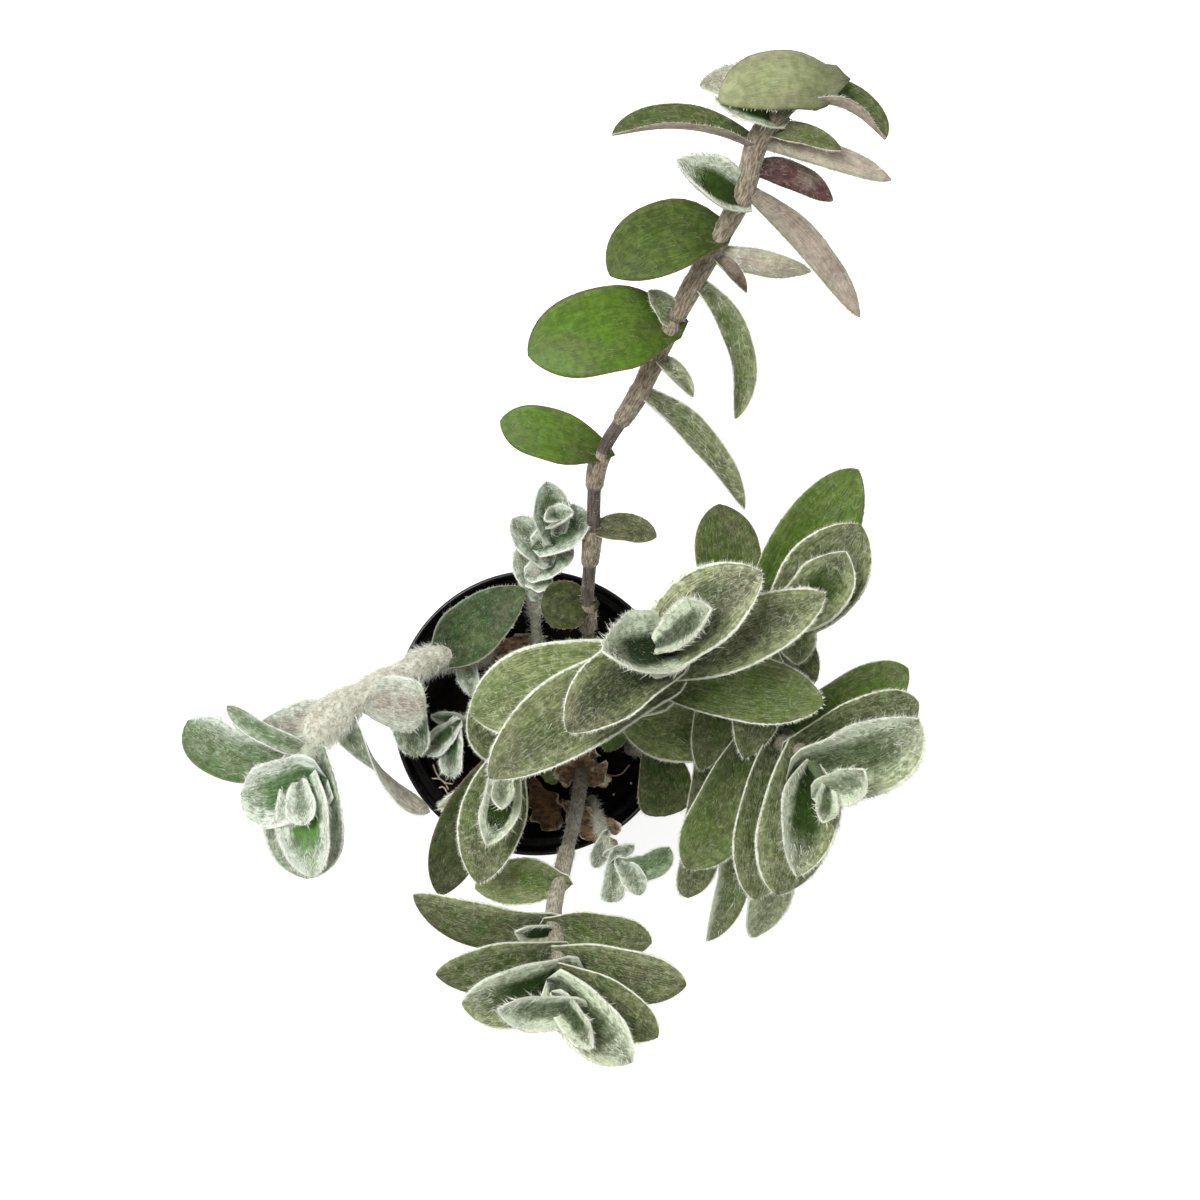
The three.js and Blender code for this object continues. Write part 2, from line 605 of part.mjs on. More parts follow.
function soilSolid() {
  const foot = floorThickness + gap;
  const topRadius = innerRadius(soilLevel - 2 * soilBumps) - gap;
  const positions = [0, 0, foot, 0, 0, soilTop(0, 0)];
  const index = [];
  const ringStart = (ring) => 2 + (ring - 1) * potSides;
  for (let ring = 1; ring <= soilRings + 1; ring += 1) {
    for (let side = 0; side < potSides; side += 1) {
      const angle = (2 * Math.PI * side) / potSides;
      const bottom = ring > soilRings;
      const radius = bottom ? innerRadius(foot) - gap : (topRadius * ring) / soilRings;
      const x = radius * Math.cos(angle);
      const y = radius * Math.sin(angle);
      positions.push(x, y, bottom ? foot : soilTop(x, y));
    }
  }
  for (let side = 0; side < potSides; side += 1) {
    const next = (side + 1) % potSides;
    index.push(1, ringStart(1) + side, ringStart(1) + next);
    for (let ring = 1; ring <= soilRings; ring += 1) {
      const inner = ringStart(ring);
      const outer = ringStart(ring + 1);
      index.push(inner + side, outer + side, outer + next, inner + side, outer + next, inner + next);
    }
    index.push(0, ringStart(soilRings + 1) + next, ringStart(soilRings + 1) + side);
  }
  let solid = toSolid(closedGeometry(positions, index));
  for (const shoot of Object.values(shoots)) {
    solid = solid.subtract(toSolid(stemGeometry(shoot, gap)));
  }
  return outerBody(solid);
}

const plant = new THREE.Group();
plant.add(namedMesh("pot", potSolid(), 0x0b0b0c, 0.25));
plant.add(namedMesh("soil", soilSolid(), 0x1e1612, 0.95));
for (const [name, shoot] of Object.entries(shoots)) {
  plant.add(namedMesh(name, shootSolid(shoot), shoot.color, 0.8));
}
for (const [name, piece] of Object.entries(dryLeaves)) {
  plant.add(namedMesh(name, drySolid(piece), piece.color, 0.85));
}

export default plant;
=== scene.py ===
import math

import bmesh
import bpy
import numpy as np
from mathutils import Color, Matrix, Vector, noise


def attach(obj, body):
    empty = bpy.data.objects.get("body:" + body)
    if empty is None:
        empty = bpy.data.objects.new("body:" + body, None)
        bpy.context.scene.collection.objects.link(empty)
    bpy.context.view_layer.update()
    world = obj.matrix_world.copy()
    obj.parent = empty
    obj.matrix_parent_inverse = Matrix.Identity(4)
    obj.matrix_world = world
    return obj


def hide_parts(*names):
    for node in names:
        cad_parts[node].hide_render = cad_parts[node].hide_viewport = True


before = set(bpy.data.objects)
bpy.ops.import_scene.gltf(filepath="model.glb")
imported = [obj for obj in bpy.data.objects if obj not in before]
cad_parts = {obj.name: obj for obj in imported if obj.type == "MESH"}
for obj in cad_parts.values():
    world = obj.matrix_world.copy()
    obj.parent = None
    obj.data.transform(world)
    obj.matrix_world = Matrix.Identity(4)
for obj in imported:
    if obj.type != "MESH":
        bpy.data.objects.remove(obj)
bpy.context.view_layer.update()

# Potted white velvet tradescantia. Sizes are in mm here and become metres when a mesh is made.
mm = 0.001
print("frame loaded:", len(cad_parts), "nodes")


def inScene(name, data):
    made = bpy.data.objects.new(name, data)
    bpy.context.scene.collection.objects.link(made)
    return made


# The photo looks straight down from 0.6 m over the pot's rim.
photoCamera = {"place": (22.4, 39.5, 688), "lens": 51.5, "sensor": 36, "nearest": 20}
camera = inScene("camera", bpy.data.cameras.new("camera"))
camera.location = [c * mm for c in photoCamera["place"]]
camera.data.lens = photoCamera["lens"]
camera.data.sensor_width = photoCamera["sensor"]
camera.data.clip_start = photoCamera["nearest"] * mm
bpy.context.scene.camera = camera


# Directions and lines
def unit(vectors):
    return vectors / np.linalg.norm(vectors, axis=-1, keepdims=True)


def column(values):
    return np.asarray(values)[:, None]


def direction(turn, rise):
    a, e = math.radians(turn), math.radians(rise)
    return np.array([math.cos(a) * math.cos(e), math.sin(a) * math.cos(e), math.sin(e)])


lineSteps = 50  # points between two knots of a route


def stemLine(route):  # a smooth line through the route's knots, with its length and directions
    knots = np.array(route, float)
    knots = np.vstack([2 * knots[0] - knots[1], knots, 2 * knots[-1] - knots[-2]])
    points = []
    for p0, p1, p2, p3 in zip(knots, knots[1:], knots[2:], knots[3:]):
        d0, d1, d2 = (math.sqrt(np.linalg.norm(b - a)) for a, b in ((p0, p1), (p1, p2), (p2, p3)))
        m1 = ((p1 - p0) / d0 - (p2 - p0) / (d0 + d1) + (p2 - p1) / d1) * d1
        m2 = ((p2 - p1) / d1 - (p3 - p1) / (d1 + d2) + (p3 - p2) / d2) * d1
        square, cube = 3 * p2 - 3 * p1 - 2 * m1 - m2, 2 * p1 - 2 * p2 + m1 + m2
        for w in np.linspace(0, 1, lineSteps, endpoint=False):
            points.append(p1 + m1 * w + square * w ** 2 + cube * w ** 3)
    points = np.array(points + [knots[-2]])
    distances = np.concatenate([[0], np.cumsum(np.linalg.norm(np.diff(points, axis=0), axis=1))])
    tangents = unit(np.gradient(points, axis=0))
    sides = [np.array([1.0, 0, 0])]
    for tangent in tangents:
        side = sides[-1] - tangent * (sides[-1] @ tangent)
        sides.append(side / np.linalg.norm(side))
    return {"distances": distances, "points": points, "tangents": tangents,
            "sides": np.array(sides[1:]), "length": distances[-1]}


def onLine(line, distance, *keys):  # the line's points, tangents or sides at a distance along it
    return [np.stack([np.interp(distance, line["distances"], line[key][:, i]) for i in range(3)], axis=-1)
            for key in keys]


# Leaf blades
bladeShape = {
    "thickness": 1.3, "marginThinning": 0.75, "tipThinning": 0.4,
    "tipHalfWidth": 0.12, "tipRoundness": 0.72,
    "backShare": 0.55, "baseRise": 0.55, "opening": 1.5,
    "columns": 12, "smallColumns": 8, "smallWidth": 8,
    "leastRows": 16, "rowsPerMillimetre": 0.5, "rowCrowding": 1.4,
    "ridges": 9, "ridgeDepth": 0.05, "keelDepth": 0.22, "keelWidth": 0.09,
    "wave": 0.35, "waves": 11, "waveWidth": 6, "frill": 0.25, "frills": 19,
}


def leaf(at, turn, rise, length, width, **form):
    return dict(at=at, turn=turn, rise=rise, length=length, width=width, **form)


def backReach(form):  # how far the base goes round behind the stem
    return form.get("back", 2 + bladeShape["backShare"] * form["clasp"] * form["width"] / 2)


def halfWidth(form, t):
    widest = form["widest"]
    lower = form["clasp"] + (1 - form["clasp"]) * np.sin(math.pi / 2 * np.clip(t / widest, 0, 1))
    behind = np.minimum(t, 0) * form["length"] / backReach(form)
    lower = lower * np.sqrt(np.clip(1 - behind ** 2, 0, 1))
    upper = 1 - np.clip((t - widest) / (1 - widest), 0, 1) ** form["blunt"]
    upper = upper ** form.get("tip", bladeShape["tipRoundness"])
    return np.maximum(form["width"] / 2 * np.where(t < widest, lower, upper), bladeShape["tipHalfWidth"])


def bladeFrame(form, base, tangent):  # base point, direction, upper face and sideways direction
    along = direction(form["turn"], form["rise"])
    face = tangent * (1 - form["lift"]) + np.array([0, 0, 1]) * form["lift"]
    face = unit(face - along * (face @ along))
    roll = math.radians(form.get("roll", 0))
    face = face * math.cos(roll) + np.cross(along, face) * math.sin(roll)
    return base, along, face, np.cross(along, face)


# Points on a blade: u runs across from -1 to 1, t from base to tip, facing is 1 above, -1 below
def onBlade(form, place, u, t, facing):
    base, along, face, across = place
    shape, phase, crumple = bladeShape, form["tone"] * 6, form.get("crumple", 0)
    reach = backReach(form)
    half = halfWidth(form, t)
    behind, t = np.minimum(t, 0) * form["length"] / reach, np.maximum(t, 0)
    bend = face * form["arch"] + across * form.get("bow", 0)
    middle = base + along * column(form["length"] * t) + bend * column(4 * t * (1 - t) * form["length"])
    middle = middle + along * column(behind * reach) + face * column(behind ** 2 * reach * shape["baseRise"])
    ahead = unit(along + bend * column(4 * (1 - 2 * t)))
    twist = column(math.radians(form.get("twist", 0)) * t)
    top = face * np.cos(twist) + np.cross(ahead, face) * np.sin(twist)
    top = unit(top - ahead * column(np.sum(top * ahead, axis=1)))
    sideways = np.cross(ahead, top)
    curl = form["fold"][1] + (form["fold"][0] - form["fold"][1]) * (1 - t) ** shape["opening"]
    half = half * (1 + shape["frill"] * crumple * np.sin(shape["frills"] * t + 4 * np.sign(u) + phase))
    angle = u * curl
    normal = top * column(np.cos(angle)) - sideways * column(np.sin(angle))
    outward = sideways * column(np.cos(angle)) + top * column(np.sin(angle))
    points = middle + sideways * column(half / curl * np.sin(angle))
    points = points + top * column(half / curl * (1 - np.cos(angle)))
    thickness = shape["thickness"] * (1 - shape["marginThinning"] * u ** 4) * (1 - shape["tipThinning"] * t)
    thickness = thickness * form.get("thin", 1)
    relief = shape["ridgeDepth"] * np.cos(u * math.pi * shape["ridges"]) * np.sin(math.pi * t)
    relief = relief - shape["keelDepth"] * np.exp(-(u / shape["keelWidth"]) ** 2) * (1 - t)
    wave = form.get("wave", 1) * shape["wave"] * np.abs(u) ** 3 * np.sin(math.pi * t)
    wave = wave * np.sin(shape["waves"] * t + phase + 2 * np.sign(u))
    wave = wave * np.minimum(1, half / shape["waveWidth"])
    folds = crumple * (np.sin(7 * u + 9 * t + phase) + np.sin(17 * t - 6 * u + 2 * phase)
                       + 0.6 * np.sin(13 * u + 8 * t + 3 * phase))
    height = facing * (thickness / 2 + relief) + wave + folds
    return points + normal * column(height), normal, outward, ahead


def facesOf(verts):  # each face once, in a fixed order
    return list(dict.fromkeys(face for vert in verts for face in vert.link_faces))


def mapSheet(verts, layers, material=0):  # smooth faces that keep their place on the flat sheet as UVs
    for face in facesOf(verts):
        face.smooth = True
        face.material_index = material
        for loop in face.loops:
            loop[layers["blade"]].uv = ((loop.vert.co.x + 1) / 2, (loop.vert.co.y + 1) / 2)
    return np.array([v.co for v in verts])


def growLeaf(mesh, layers, form, place):  # a flat closed slab in leaf coordinates, bent into its blade
    shape = bladeShape
    rows = max(shape["leastRows"], round(form["length"] * shape["rowsPerMillimetre"]))
    columns = shape["columns"] if form["width"] > shape["smallWidth"] else shape["smallColumns"]
    lower = bmesh.ops.create_grid(mesh, x_segments=columns, y_segments=rows, size=1)["verts"]
    lowerFaces = facesOf(lower)
    raised = bmesh.ops.extrude_face_region(mesh, geom=lowerFaces)["geom"]
    upper = [g for g in raised if isinstance(g, bmesh.types.BMVert)]
    bmesh.ops.reverse_faces(mesh, faces=lowerFaces)
    bmesh.ops.translate(mesh, verts=upper, vec=(0, 0, 1))
    verts = lower + upper
    flat = mapSheet(verts, layers)
    u, facing, back = flat[:, 0], flat[:, 2] * 2 - 1, backReach(form) / form["length"]
    t = (1 + back) * (1 - (1 - (flat[:, 1] + 1) / 2) ** shape["rowCrowding"]) - back
    points = onBlade(form, place, u, t, facing)[0] * mm
    for vert, point, side, sideways in zip(verts, points, facing, u):
        vert.co = point
        vert[layers["under"]] = (1 + side) / 2 * form["turned"] if "turned" in form else (1 - side) / 2
        for key in ("fresh", "blush", "deep"):
            vert[layers[key]] = form.get(key, 0)
        vert[layers["tone"]] = form["tone"] + form.get("shade", 0) * sideways
        vert[layers["wool"]] = max(0, form.get("wool", 0) + form.get("lean", 0) * sideways)


# Stems
stemShape = {"sides": 14, "rowLength": 1.6, "sheathLength": 13, "sheathFoot": 0.6, "flare": 0.35,
             "ridges": 5, "ridgeDepth": 0.07, "roundEnd": 6, "youngLength": 18, "tipShare": 0.22}


def sheathAt(shoot, distance):  # 0 on a bare joint, rising to 1 at the rim of a leaf's sheath
    return max((1 - (item["at"] - distance) / stemShape["sheathLength"] for item in shoot["leaves"]
                if 0 <= item["at"] - distance < stemShape["sheathLength"]), default=0)


def stemRadius(shoot, line, distance):
    foot, top = shoot["radius"]
    sheath = sheathAt(shoot, distance)
    thicker = shoot["sheath"] * (stemShape["sheathFoot"] + stemShape["flare"] * sheath) if sheath > 0 else 0
    whole = foot + (top - foot) * distance / line["length"] + thicker
    for at, reach, extra in shoot.get("swellings", ()):
        whole += extra * max(0, 1 - ((distance - at) / reach) ** 2)
    left = line["length"] - distance
    whole *= stemShape["tipShare"] + (1 - stemShape["tipShare"]) * min(1, left / stemShape["youngLength"])
    ending = max(0, 1 - left / stemShape["roundEnd"])
    return whole * math.sqrt(max(0.01, 1 - ending ** 2))


def aroundLine(line, distances, angles, radii):  # points, outward directions and tangents round a line
    centres, sides, tangents = onLine(line, distances, "points", "sides", "tangents")
    around = sides * column(np.cos(angles)) + np.cross(tangents, sides) * column(np.sin(angles))
    return centres + around * column(radii), around, tangents


def growTube(mesh, layers, line, radiusAt, sides, rowLength, material, ridge=0):
    rows = max(2, round(line["length"] / rowLength))
    verts = bmesh.ops.create_grid(mesh, x_segments=sides, y_segments=rows, size=1)["verts"]
    flat = mapSheet(verts, layers, material)
    angles, distances = (flat[:, 0] + 1) * math.pi, (flat[:, 1] + 1) / 2 * line["length"]
    radii = np.array([radiusAt(d) for d in distances]) + ridge * np.cos(stemShape["ridges"] * angles)
    for vert, point in zip(verts, aroundLine(line, distances, angles, radii)[0] * mm):
        vert.co = point
    return verts, distances


def closeTube(mesh, verts):  # joins the grid's long edges and caps both ends
    bmesh.ops.remove_doubles(mesh, verts=verts, dist=1e-6)
    bmesh.ops.holes_fill(mesh, edges=[e for e in mesh.edges if e.is_boundary], sides=0)


def growStem(mesh, layers, shoot, line):
    verts, distances = growTube(mesh, layers, line, lambda d: stemRadius(shoot, line, d), stemShape["sides"],
                                stemShape["rowLength"], material=1, ridge=stemShape["ridgeDepth"])
    for vert, distance in zip(verts, distances):
        vert[layers["under"]] = sheathAt(shoot, distance)
        vert[layers["fresh"]] = max(0, 1 - (line["length"] - distance) / stemShape["youngLength"])
        vert[layers["wool"]] = shoot["stemWool"]
    closeTube(mesh, verts)


# Hairs: thin three-sided spikes, counted per mm of margin and per square mm of a face or stem
hairShape = {
    "margin": {"count": 7.0, "length": (0.5, 1.2), "width": 0.085, "tone": (0.55, 1), "zone": (0.93, 1),
               "lean": (-0.5, 0.5), "forward": (0.1, 0.9), "tipForward": 1.5, "rise": 0.15},
    "face": {"count": 0.9, "length": (1.0, 2.8), "width": 0.04, "below": 0.6, "swing": 0.6, "outward": 0.4,
             "rise": (0.05, 0.4), "inHollow": 0.15, "lockShare": 0.3, "lockWool": 0.3},
    "stem": {"count": 1.8, "length": (0.8, 2.2), "width": 0.05, "tone": (0.3, 0.9), "foot": 20,
             "forward": (0.2, 1.6), "swing": 0.25, "onJoint": 0.25, "onTip": 0.1},
    "leastShare": 0.12, "leafLength": 40,
}


def pile(count, makeOne):  # copies of one shape that is under 0.5 high, the n-th of them at height n
    mesh = bmesh.new()
    makeOne(mesh)
    made = 1
    while made < count:
        copied = bmesh.ops.duplicate(mesh, geom=mesh.verts[:] + mesh.edges[:] + mesh.faces[:])["geom"]
        moved = [g for g in copied if isinstance(g, bmesh.types.BMVert)]
        bmesh.ops.translate(mesh, verts=moved, vec=(0, 0, made))
        made *= 2
    spare = [v for v in mesh.verts if v.co.z > count - 0.25]
    bmesh.ops.delete(mesh, geom=spare, context="VERTS")
    return mesh


def makeSpike(mesh):
    bmesh.ops.create_cone(mesh, cap_ends=True, segments=3, radius1=1, radius2=0, depth=0.5)
    bmesh.ops.remove_doubles(mesh, verts=mesh.verts, dist=1e-4)
    bmesh.ops.translate(mesh, verts=mesh.verts, vec=(0, 0, 0.25))


def hairPiece(name, hairs, material):  # hairs: roots, aims, lengths, widths and tones
    roots, aims, lengths, widths, tones = (np.concatenate(part) for part in zip(*hairs))
    data = meshData(name, pile(len(roots), makeSpike), [material])
    flat = np.empty(len(data.vertices) * 3, np.float32)
    data.vertices.foreach_get("co", flat)
    x, y, z = flat.reshape(-1, 3).T
    hair = np.floor(z + 0.01).astype(int)
    helper = np.where(np.abs(aims[:, 2:]) > 0.8, [[1.0, 0, 0]], [[0, 0, 1.0]])
    first = unit(np.cross(aims, helper))
    second = np.cross(aims, first)
    width, length = widths[hair], lengths[hair] * (z - hair) * 2
    points = roots[hair] + first[hair] * column(x * width)
    points = points + second[hair] * column(y * width) + aims[hair] * column(length)
    data.vertices.foreach_set("co", (points * mm).astype(np.float32).ravel())
    shade = data.attributes.new("tone", "FLOAT", "POINT")
    shade.data.foreach_set("value", tones[hair].astype(np.float32))
    data.update()
    return addPiece(name, data)


def hairLengths(kind, form, dice, count):  # shorter on small leaves
    return dice.uniform(*kind["length"], count) * min(1, 0.4 + form["length"] / hairShape["leafLength"])


def marginHairs(form, place, dice):
    kind, wool = hairShape["margin"], form["wool"]
    count = int(2 * form["length"] * kind["count"] * min(1, hairShape["leastShare"] + 4 * wool))
    t = dice.uniform(-0.5 * backReach(form) / form["length"], 1, count)
    u = np.where(dice.random(count) < 0.5, -1, 1) * dice.uniform(*kind["zone"], count)
    points, normal, outward, ahead = onBlade(form, place, u, t, np.zeros(count))
    lean = dice.uniform(*kind["lean"], (count, 1))
    forward = dice.uniform(*kind["forward"], (count, 1)) + kind["tipForward"] * column(t) ** 6
    aims = unit(outward * column(np.sign(u)) + ahead * forward + normal * (lean + kind["rise"]))
    lengths = hairLengths(kind, form, dice, count) * (1 + 0.5 * wool)
    return points, aims, lengths, np.full(count, kind["width"]), dice.uniform(*kind["tone"], count)


def faceHairs(form, place, dice, facing, share):
    kind, wool, deep = hairShape["face"], form["wool"], form.get("deep", 0)
    area = form["length"] * form["width"] * 0.75
    count = int(area * kind["count"] * share * (hairShape["leastShare"] + 1.9 * wool))
    t, u = dice.uniform(0.03, 1, count * 2), dice.uniform(-1, 1, count * 2)
    inside = ((t < 0.6) & (np.abs(u) < 0.7)) * deep
    filled = halfWidth(form, t) / (form["width"] / 2) * (1 - (1 - kind["inHollow"]) * inside)
    kept = dice.random(count * 2) < filled
    t, u = t[kept][:count], u[kept][:count]
    count = len(t)
    points, normal, outward, ahead = onBlade(form, place, u, t, np.full(count, facing))
    swing = dice.normal(0, kind["swing"], (count, 1)) + kind["outward"] * column(u)
    rise = dice.uniform(*kind["rise"], (count, 1)) * (1 + wool)
    aims = unit(ahead + outward * swing + normal * facing * rise)
    hollow = (t < 0.7) & (np.abs(u) < 0.75) & (deep > 0)
    lock = (dice.random(count) < kind["lockShare"] * (wool - kind["lockWool"])) & ~hollow
    lengths = hairLengths(kind, form, dice, count) * (1 + 0.5 * lock)
    widths = np.full(count, kind["width"]) * (1 + 0.5 * wool) * (1 + 1.4 * lock)
    # hair tones drop in the hollow: painted shade on the hairs there
    tones = (0.4 * dice.random(count) + 0.45 * wool ** 2 + 0.3 * lock) * (1 - 0.8 * hollow)
    return points, aims, lengths, widths, np.minimum(tones, 1)


def stemHairs(shoot, line, dice):
    kind, wool = hairShape["stem"], shoot["stemWool"]
    bare = 2 * math.pi * shoot["radius"][0] * line["length"]
    count = int(bare * kind["count"] * shoot.get("stemHairs", wool))
    distances = dice.uniform(kind["foot"], line["length"], count)
    sheaths = np.array([sheathAt(shoot, d) for d in distances])
    young = (distances > line["length"] - 0.6 * stemShape["youngLength"]) & (wool < 1)
    filled = np.where(sheaths > 0, 1, kind["onJoint"]) * np.where(young, kind["onTip"], 1)
    distances = distances[dice.random(count) < filled]
    count = len(distances)
    angles = dice.uniform(0, 2 * math.pi, count)
    radii = np.array([stemRadius(shoot, line, d) for d in distances])
    points, around, tangents = aroundLine(line, distances, angles, radii)
    forward = dice.uniform(*kind["forward"], (count, 1))
    aims = unit(around + tangents * forward + dice.normal(0, kind["swing"], (count, 3)))
    lengths = dice.uniform(*kind["length"], count) * (0.7 + 0.6 * wool)
    tones = dice.uniform(*kind["tone"], count) + 0.25 * (wool > 1)
    return points, aims, lengths, np.full(count, kind["width"]), np.minimum(tones, 1)


# Pieces
def meshData(name, mesh, materials=()):
    data = bpy.data.meshes.new(name)
    mesh.to_mesh(data)
    mesh.free()
    for material in materials:
        data.materials.append(material)
    return data


def addPiece(name, data, replaced=None):
    piece = inScene(name, data)
    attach(piece, "root")
    if replaced:
        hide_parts(replaced)
    return piece


def bmeshPiece(name, mesh, materials, replaced=None):
    bmesh.ops.recalc_face_normals(mesh, faces=mesh.faces)
    return addPiece(name, meshData(name, mesh, materials), replaced)


leafAttributes = ("wool", "fresh", "blush", "tone", "under", "deep")


def plantLayers(mesh):
    layers = {key: mesh.verts.layers.float.new(key) for key in leafAttributes}
    layers["blade"] = mesh.loops.layers.uv.new("blade")
    return layers


# A shoot: stem and leaves in one mesh, and its hairs in another
def makeShoot(shoot):
    dice = np.random.default_rng(shoot["seed"])
    line = stemLine(shoot["route"])
    mesh = bmesh.new()
    layers = plantLayers(mesh)
    growStem(mesh, layers, shoot, line)
    hairs = [stemHairs(shoot, line, dice)]
    for item in shoot["leaves"]:
        form = {**plainLeaf, **shoot["habit"], "tone": dice.random(), **item}
        base, tangent = onLine(line, min(item["at"], line["length"]), "points", "tangents")
        place = bladeFrame(form, base, unit(tangent))
        growLeaf(mesh, layers, form, place)
        hairs += [marginHairs(form, place, dice), faceHairs(form, place, dice, 1, 1),
                  faceHairs(form, place, dice, -1, hairShape["face"]["below"])]
    node, slot = shoot["node"], shoot["slot"]
    bmeshPiece(node + "_leaves", mesh, [leafMaterials[slot], stemMaterial], node)
    hairPiece(node + "_hairs", hairs, hairMaterial)
    print("grown:", node, "with", len(shoot["leaves"]), "leaves and", sum(len(h[0]) for h in hairs), "hairs")


# Materials
def tint(red, green, blue):  # a colour as picked on screen, 0 to 255
    return (*Color((red / 255, green / 255, blue / 255)).from_srgb_to_scene_linear(), 1)


def addNode(tree, kind, inputs=None, **settings):
    made = tree.nodes.new("ShaderNode" + kind)
    for key, value in settings.items():
        setattr(made, key, value)
    for key, value in (inputs or {}).items():
        if isinstance(value, bpy.types.NodeSocket):
            tree.links.new(value, made.inputs[key])
        else:
            made.inputs[key].default_value = value
    return made


# The next ones find their node tree through the sockets that they are given
def joined(kind, inputs, output=0, **settings):
    tree = next(value.id_data for value in inputs.values() if isinstance(value, bpy.types.NodeSocket))
    return addNode(tree, kind, inputs, **settings).outputs[output]


def mixed(share, first, second):  # colours blended by a share
    return joined("Mix", {0: share, 6: first, 7: second}, 2, data_type="RGBA")


def maths(operation, *values):
    return joined("Math", dict(enumerate(values)), operation=operation)


def plus(first, second):
    return maths("ADD", first, second)


def times(first, second):
    return maths("MULTIPLY", first, second)


def scaled(value, factor, offset):
    return maths("MULTIPLY_ADD", value, factor, offset)


def ramp(value, low, high, bottom=0, top=1):  # smooth step from low to high
    limits = {"Value": value, "From Min": low, "From Max": high, "To Min": bottom, "To Max": top}
    return joined("MapRange", limits, interpolation_type="SMOOTHSTEP")


def grain(place, scale, detail=2, rough=0.5):
    return joined("TexNoise", {"Vector": place, "Scale": scale, "Detail": detail, "Roughness": rough})


def streaked(across, along, seed, acrossScale, alongScale, detail=3, rough=0.6):  # grain drawn out lengthwise
    place = joined("CombineXYZ", {0: times(across, acrossScale), 1: times(along, alongScale), 2: seed})
    return grain(place, 1, detail, rough)


def fromMiddle(across):  # 0 at a blade's midrib, 1 at its margins
    return maths("ABSOLUTE", scaled(across, 2, -1))


def newGroup(name, inputs, outputs):
    group = bpy.data.node_groups.new(name, "ShaderNodeTree")
    for way, sockets in (("INPUT", inputs), ("OUTPUT", outputs)):
        for key, kind in sockets.items():
            group.interface.new_socket(key, in_out=way, socket_type="NodeSocket" + kind)
    return group, group.nodes.new("NodeGroupInput").outputs, group.nodes.new("NodeGroupOutput").inputs


# Colours of the three kinds of blade, in the order of leafSlots
leafSlots = ("velvet_leaf", "woolly_leaf", "bright_leaf")
leafSheen = (0.1, 0.3, 0.04)
leafColours = {
    "Dull Green": ((56, 72, 24), (62, 80, 42), (78, 88, 42)),
    "Fresh Green": ((80, 112, 22), (78, 124, 48), (84, 118, 24)),
    "Tip Colour": ((92, 84, 66), (102, 98, 74), (94, 88, 60)),
    # the hollow colour below is partly a blade's own dark green and partly painted shade
    "Shaded Hollow Colour": ((8, 28, 8), (32, 66, 26), (22, 38, 20)),
    "Wool Colour": ((176, 184, 130), (196, 208, 186), (180, 184, 152)),
    "Young Wool Colour": ((218, 230, 202), (220, 230, 214), (196, 206, 186)),
    "Margin Colour": ((242, 245, 226), (246, 250, 240), (232, 234, 214)),
    "Bare Margin Colour": ((112, 92, 62), (150, 150, 124), (104, 84, 58)),
    "Under Colour": ((150, 146, 124), (158, 146, 134), (190, 177, 160)),
    "Blush Colour": ((112, 74, 76), (128, 96, 92), (92, 56, 60)),
}

# Grains: scale, detail and roughness. Streaks and flecks: counts across and along, and detail.
velvetLook = {
    "zones": (75, 2, 0.5), "brownZones": (120, 3, 0.5), "patches": (420, 3, 0.65), "fine": (900, 2, 0.5),
    "streaks": (52, 7, 3), "flecks": (90, 16, 2), "curlScale": 300, "curlTurn": 1.6, "curlWidth": 0.035,
    "tipBrown": 0.6, "patchBrown": 0.75, "footShade": 0.45, "streakLight": (-0.34, 0.22),
    "patchLight": (0.7, 1.1), "toneLight": 0.36, "woolPower": 1.9, "marginWoolSheen": (0.5, 2.5),
    "strandWool": 1.05, "bandWidth": 0.14, "bandEdge": 0.05, "bareMargin": 0.7,
    "roughness": (0.68, 0.88), "freshGloss": 0.28, "strandRelief": 0.8, "feltRelief": 0.6,
}


